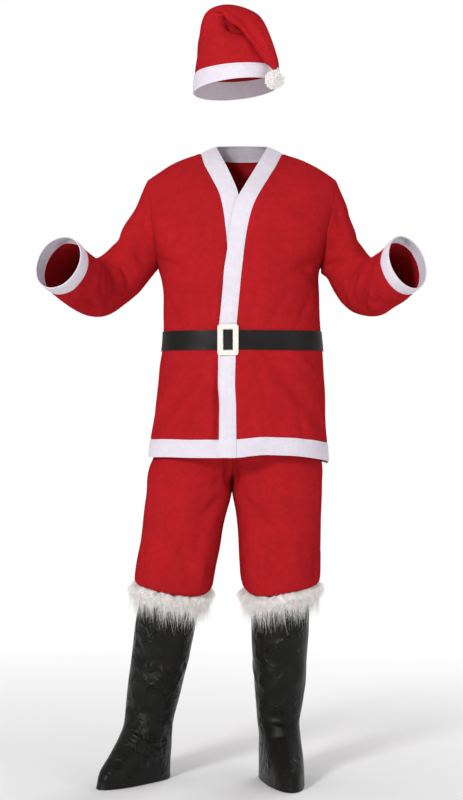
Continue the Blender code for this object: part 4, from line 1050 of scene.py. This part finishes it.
def jacket():
    cloth = jacket_cloth()
    crease([piece for name, piece in cloth.items() if name != "neck"], JACKET_CREASES,
           wave=0.035, height=1.6 * MM)
    left, right, back = cloth[1], cloth[-1], cloth["back"]
    left.lift(lap(left.points))
    hem, edge = HEM_ROW * DOWN, STRIP_PARTS * ROUND
    for side, name in SIDES:
        front, sleeve = cloth[side], cloth["sleeve", side]
        panel(f"jacket_front_{name}_felt", front[hem:, edge:], EDGES, f"jacket_front_{name}")
        strip(f"front_strip_{name}", front[:, :edge + 1], ("first", "last", "low"),
              f"front_band_{name}", ("first", "last"), 2, None)
        panel(f"sleeve_{name}_felt", sleeve[:-ROUND], ("low", "high"), f"sleeve_{name}")
        strip(f"cuff_strip_{name}", sleeve[-1 - ROUND:], ("low", "high"), f"cuff_band_{name}",
              ("low",))
    panel("jacket_back_felt", back[hem:], EDGES, "jacket_back")
    strip("neck_strip", cloth["neck"], ("low", "high"), "neck_band")
    round_hem = joined([left[:hem + 1, edge:], back[:hem + 1, 1:-1], right[:hem + 1, :edge - 1:-1]])
    strip("hem_strip", round_hem, EDGES, "hem_band", ("high",), proud=STITCH_PROUD)
    # The belt lies on the jacket's own points, out over the front strip.
    rows = slice(BELT_LOW * DOWN, BELT_HIGH * DOWN + 1)
    belt = joined([left[rows], back[rows, 1:-1], right[rows, :edge:-1]], closed=True)
    proud = np.full(belt.points.shape[:2], BELT_CLEAR + BELT_WALL)
    proud[:, :edge + 1] += TRIM_PROUD
    shell("belt_strap", belt.lift(proud), "charcoal", "belt")


# Trousers ------------

def hem_lift(share, front):
    """Height of the hem over its row; the hidden back runs straight from seam to seam."""
    if front:
        return between(HEM_LINE, share)[1]
    return HEM_LINE[0][1] + (HEM_LINE[-1][1] - HEM_LINE[0][1]) * share


def leg_point(degrees, inner, outer, depth, height):
    """Point of a leg's section: 0 at the inseam, 180 at the side seam."""
    turn = math.radians(degrees)
    middle, half = (inner + outer) / 2, (outer - inner) / 2
    return Vector((middle - half * swell(math.cos(turn)), -depth * swell(math.sin(turn)), height))


def leg_grid(side, face):
    """The front from the middle to the side, or the back from the side to the middle."""
    sign, rows = 1 - 2 * face, []
    inside, outside = (3, 4) if side > 0 else (2, 1)
    for hips in HIPS:
        z, out, depth = hips[0], hips[2 if side > 0 else 1], sign * hips[3 + face]
        middle = WAIST_X + (CROTCH_X - WAIST_X) * ramp(z, HIPS[0][0], MIDDLE_FULL)
        part = ramp(z, HIP_TOP, LEGS[0][0])
        rows.append([oval(turn / 2, middle, out - middle, depth, z).lerp(
            leg_point(turn, middle, LEGS[0][outside], sign * LEGS[0][5 + face], z), part)
            for turn in steps(0, 180, LEG_PARTS)])
    for leg, pull in zip(LEGS, HEM_PULL):
        inner, outer = leg[inside], leg[outside]
        row = [leg_point(turn, inner, outer, sign * leg[5 + face], leg[0])
               for turn in steps(0, 180, LEG_PARTS)]
        for point in row:
            point.z += pull * hem_lift((point.x - inner) / (outer - inner), not face)
        rows.append(row)
    return [row[::-1] for row in rows] if face else rows


def trousers():
    cloth = {side: [Cloth(refined(leg_grid(side, face))) for face in (0, 1)] for side in (1, -1)}
    crotch = len(HIPS) * DOWN
    (left, left_back), (right, right_back) = cloth.values()
    sew(left, "first", right, "first", slice(0, crotch + 1))
    sew(left_back, "last", right_back, "last", slice(0, crotch + 1))
    for front, back in cloth.values():
        sew(front, "last", back, "first")
        sew(front, "first", back, "last", slice(crotch, None))
    panels = [left, left_back, right, right_back]
    for cut in panels:
        cut.normals = cut.facing()
    join_seams([panels])
    crease(panels, TROUSER_CREASES, wave=0.04, height=1.5 * MM)
    waist = WAIST_ROW * DOWN
    for side, name in SIDES:
        for cut, face in zip(cloth[side], ("front", "back")):
            panel(f"trouser_{face}_{name}", cut[waist:], ("first", "last"),
                  f"trousers_{face}_{name}", rounded=0)
    around = ((left, 1), (left_back, 1), (right_back, -1), (right, -1))
    band = joined([cut[:waist + 1, ::turn][:, :-1] for cut, turn in around], closed=True)
    shell("waist_strip", band, "red", "waistband", TRIM_PROUD, wall=TRIM)


# Boot covers ------------

def boot_point(table, toe_turn, degrees, height, extra=0.0):
    """Point of a boot's section: 0 at the toe, 90 at the left side."""
    _, x, y, half, toe, heel = between(table, height)
    turn, toe_turn = math.radians(degrees), math.radians(toe_turn)
    forward = Vector((math.sin(toe_turn), -math.cos(toe_turn), 0))
    sideways = Vector((math.cos(toe_turn), math.sin(toe_turn), 0))
    reach = toe if math.cos(turn) > 0 else heel
    return (Vector((x, y, height)) + sideways * (half + extra) * math.sin(turn)
            + forward * (reach + extra) * math.cos(turn))


def boot_cover(name, table, toe_turn):
    grid = [[boot_point(table, toe_turn, 360 * k / BOOT_PARTS, row[0])
             for k in range(BOOT_PARTS)] for row in table]
    cloth = Cloth(refined(grid, ROUND, ROUND, closed=True), closed=True)
    crease([cloth], BOOT_CREASES, wave=0.03, height=1.0 * MM)
    shell(f"boot_cover_{name}", cloth, "black", f"boot_{name}")


# Hat ------------

def hat_grid():
    """Rings from the mouth up the crown, over the fold and down the hanging tail."""
    grid = []
    for x, y, z, width, depth, fold, turn in HAT:
        fold, turn = math.radians(fold), math.radians(turn)
        side = Vector((math.cos(turn), math.sin(turn), 0))
        fall = Vector((math.sin(turn), -math.cos(turn), 0))
        radial = -fall * math.cos(fold) + Vector((0, 0, 1)) * math.sin(fold)
        level = 1 - ramp(z, HAT[0][2], HAT_LEVEL)
        grid.append(ring((x, y, z), side * width, radial * depth, HAT_PARTS))
        for point in grid[-1]:
            point.z += level * (HAT_TILT[0] * (point.x - x) + HAT_TILT[1] * (point.y - y))
    return grid


def hat():
    shape = Cloth(refined(hat_grid(), ROUND, ROUND, closed=True), closed=True)
    crease([shape], HAT_CREASES, wave=0.03, height=0.9 * MM)
    strip("hat_strip", shape[:ROUND + 1], ("low", "high"), "hat_band", ("high",),
          proud=STITCH_PROUD)
    panel("hat_felt", shape[ROUND:], ("low",), "hat_crown")


# Fur and wool ------------

def fur_rows(side, table, toe_turn):
    """Rows of the fur's dense body: its backing, over the top and down to its lower edge."""
    rows = []
    for number, (drop, depth) in enumerate(FUR_TUCK + FUR_PROFILE):
        outer = number >= len(FUR_TUCK)
        row = []
        for k in range(FUR_PARTS):
            degrees = 360 * k / FUR_PARTS
            turn = math.radians(degrees + toe_turn)
            hem = hem_lift((1 + side * math.sin(turn)) / 2, math.cos(turn) > 0)
            tuft = outer * sum(rise * math.sin(across * k + down * number)
                               for rise, across, down in TUFTS)
            row.append(boot_point(table, toe_turn, degrees, FUR_TOP + hem + drop + tuft,
                                  max(depth + TUFT_DEPTH * tuft, FUR_BACKING)))
        rows.append(row)
    return refined(rows, FUR_ROWS, 2, closed=True)


def outward(places, points):
    """Level directions away from the fur's middle."""
    out = places - points.mean(axis=(0, 1))
    out[:, 2] = 0
    return unit(out)


def hanging(name, points, share, node, draw, drop, flare, hairs, loose, width):
    """Streaks of fur: each grows from a place on the body and hangs by its drop and flare."""
    many = len(share)
    first = FUR_ROWS * len(FUR_TUCK)
    row = first + (share * (points.shape[0] - 1 - first)).astype(int)
    centre = points[row, draw.integers(points.shape[1], size=many)]
    out = outward(centre, points)
    around = np.cross(out, UP)
    end = (centre + out * flare[:, None] + around * draw.normal(0, SWAY, many)[:, None]
           - UP * drop[:, None])
    streak = np.repeat(np.arange(many), hairs)
    count = len(streak)
    spread = draw.normal(0, 1, (count, 2))
    roots = (centre[streak] + around[streak] * spread[:, :1] * SPREAD
             + UP * spread[:, 1:] * RISE - out[streak] * ROOT)
    reach = draw.random(count)[:, None]
    tips = (roots + (end[streak] - roots) * (0.4 + 0.7 * reach ** 1.5)
            + draw.normal(0, loose, (count, 3)))
    bends = roots + (tips - roots) * 0.35 + out[streak] * (7 - 5 * share[streak])[:, None] * MM
    sides = unit(np.cross(draw.normal(0, 1, (count, 3)), tips - roots))
    strands(name, roots, bends, tips, width * (0.7 + 0.6 * draw.random(count)), sides,
            np.repeat(0.55 + 0.45 * draw.random(many), hairs),
            draw.normal(0, 0.5 * loose, (count, 3)), "fur", node)


def fur_top(name, side, table, toe_turn, draw):
    """Dense body, its locks and fluff, and the long wisps of one boot cover's fur top."""
    node = f"fur_top_{name}"
    points = fur_rows(side, table, toe_turn)
    bm = gridded(closing(points))
    bmesh.ops.remove_doubles(bm, verts=bm.verts, dist=DOUBLES)
    bmesh.ops.recalc_face_normals(bm, faces=bm.faces)
    # The fur's dense body takes a middling tone: painted shade under its hairs.
    make(f"fur_ground_{name}", bm, "fur", node, 0.5)
    share = draw.random(LOCKS)
    hanging(f"fur_locks_{name}", points, share, node, draw,
            drop=(9 + 2 * share + 8 * draw.random(LOCKS) ** 2) * MM,
            flare=(13 * (1 - share) + 7 * draw.random(LOCKS) - 2 * share) * MM,
            hairs=LOCK_STRANDS, loose=1.9 * MM, width=0.5 * MM)
    share = 0.45 + 0.55 * draw.random(WISPS)
    hanging(f"fur_wisps_{name}", points, share, node, draw,
            drop=(28 + 38 * draw.random(WISPS)) * MM, flare=draw.normal(-1, 6, WISPS) * MM,
            hairs=WISP_STRANDS, loose=4.2 * MM, width=0.42 * MM)
    first = FUR_ROWS * len(FUR_TUCK)
    rows, columns = points.shape[:2]
    row = (first - 3 + (rows - first) * draw.random(FLUFF) ** 2.2).astype(int)
    roots = points[row, draw.integers(columns, size=FLUFF)] + draw.normal(0, 1.2 * MM, (FLUFF, 3))
    low = (row / rows)[:, None]
    length = (13 + 9 * draw.random(FLUFF))[:, None] * (1 - 0.4 * low) * MM
    lean = unit(outward(roots, points) * (1.0 - 0.6 * low) + 0.35 * UP - 1.5 * UP * low
                + draw.normal(0, 0.16, (FLUFF, 3)))
    strands(f"fur_fluff_{name}", roots, roots + lean * length * 0.6,
            roots + lean * length - UP * 3 * MM, (0.4 + 0.3 * draw.random(FLUFF)) * MM,
            unit(np.cross(draw.normal(0, 1, (FLUFF, 3)), lean)),
            0.8 + 0.2 * draw.random(FLUFF), draw.normal(0, 0.7 * MM, (FLUFF, 3)), "fur", node)


def wool_ball(draw):
    """The hat's pompom: a loose ball of cut wool."""
    middle, count = np.array(POMPOM) * MM, POMPOM_STRANDS
    bm = bmesh.new()
    bmesh.ops.create_icosphere(bm, subdivisions=4, radius=(POMPOM_CORE + 1) * MM)
    for vert in bm.verts:
        lump = math.sin(420 * vert.co.x) * math.sin(510 * vert.co.z + 1) * math.sin(460 * vert.co.y)
        vert.co *= 1 + POMPOM_LUMP * lump
    bmesh.ops.translate(bm, verts=bm.verts, vec=middle)
    # The pompom's core takes a middling tone: painted shade under its wool.
    make("wool_core", bm, "fur", "pompom", 0.55)
    out = unit(draw.normal(0, 1, (count, 3)))
    roots = middle + out * (POMPOM_CORE - 2) * MM
    length = (7 + 4 * draw.random(count))[:, None] * MM
    tips = roots + unit(out + draw.normal(0, 0.3, (count, 3))) * length - UP * MM
    bends = roots + out * length * 0.5 + draw.normal(0, 0.8 * MM, (count, 3))
    sides = unit(np.cross(draw.normal(0, 1, (count, 3)), out))
    strands("wool_ends", roots, bends, tips, (0.6 + 0.5 * draw.random(count)) * MM, sides,
            0.8 + 0.2 * draw.random(count), draw.normal(0, 1.0 * MM, (count, 3)), "fur", "pompom")


# The whole suit ------------

def placed(name, data, place=(0, 0, 0), target=None):
    """The floor, a lamp or the camera, turned to its target if it has one."""
    thing = bpy.data.objects.new(name, data)
    thing.location = place
    if target:
        way = Vector(target) - Vector(place)
        thing.rotation_euler = way.to_track_quat("-Z", "Y").to_euler()
    bpy.context.collection.objects.link(thing)
    return thing


def studio():
    """Pale floor that fades into the white backdrop, soft light and the camera."""
    paper = finish("studio floor", {"Roughness": 0.8, "Specular IOR Level": 0.1,
                                    "Emission Strength": 1.0})
    nodes = Nodes(paper.node_tree)
    middle = nodes.add("ShaderNodeMapping", {"Vector": nodes.place(), "Location": (0, 0, -FLOOR)})
    away = nodes.add("ShaderNodeVectorMath", {0: middle.outputs[0]}, operation="LENGTH")
    far = nodes.spread(away.outputs["Value"], *FADE)
    pale, black, white = (0.88, 0.88, 0.88, 1), (0, 0, 0, 1), (1, 1, 1, 1)
    nodes.shader({"Base Color": nodes.mix(far, pale, black),
                  "Emission Color": nodes.mix(far, black, white)})
    bm = bmesh.new()
    bmesh.ops.create_grid(bm, x_segments=1, y_segments=1, size=FLOOR_REACH)
    bmesh.ops.translate(bm, verts=bm.verts, vec=(0, 0, FLOOR))
    placed("studio_floor", as_mesh("studio_floor", bm, paper))
    world = set_up(bpy.data.worlds.new("studio"), use_nodes=True)
    nodes = Nodes(world.node_tree)
    seen = nodes.add("ShaderNodeLightPath").outputs["Is Camera Ray"]
    nodes.put(nodes.tree.nodes["Background"], {
        "Color": white, "Strength": nodes.spread(seen, 0, 1, AMBIENT, 1.0)})
    for name, place, size, power in LAMPS:
        light = set_up(bpy.data.lights.new(name, "AREA"), size=size, energy=power)
        placed(name, light, place, (0, 0, CAMERA_Z))
    lens = set_up(bpy.data.cameras.new("view"), sensor_width=SENSOR,
                  lens=SENSOR * CAMERA_DISTANCE / (IMAGE_HEIGHT * PIXEL))
    camera = placed("view", lens, (CAMERA_X, -CAMERA_DISTANCE, CAMERA_Z))
    camera.rotation_euler = (math.radians(90), 0, 0)
    scene = set_up(bpy.context.scene, world=world, camera=camera)
    scene.view_settings.view_transform = "Standard"


studio()
LOOK = finishes()
jacket()
trousers()
draw = np.random.default_rng(24)
for (leg, boot_name), boot_table, toe in zip(SIDES, (LEFT_BOOT, RIGHT_BOOT), (LEFT_TOE, RIGHT_TOE)):
    boot_cover(boot_name, boot_table, toe)
    fur_top(boot_name, leg, boot_table, toe, draw)
hat()
wool_ball(draw)
buckle_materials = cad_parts["buckle"].data.materials
buckle_materials.clear()
buckle_materials.append(LOOK["cream"])
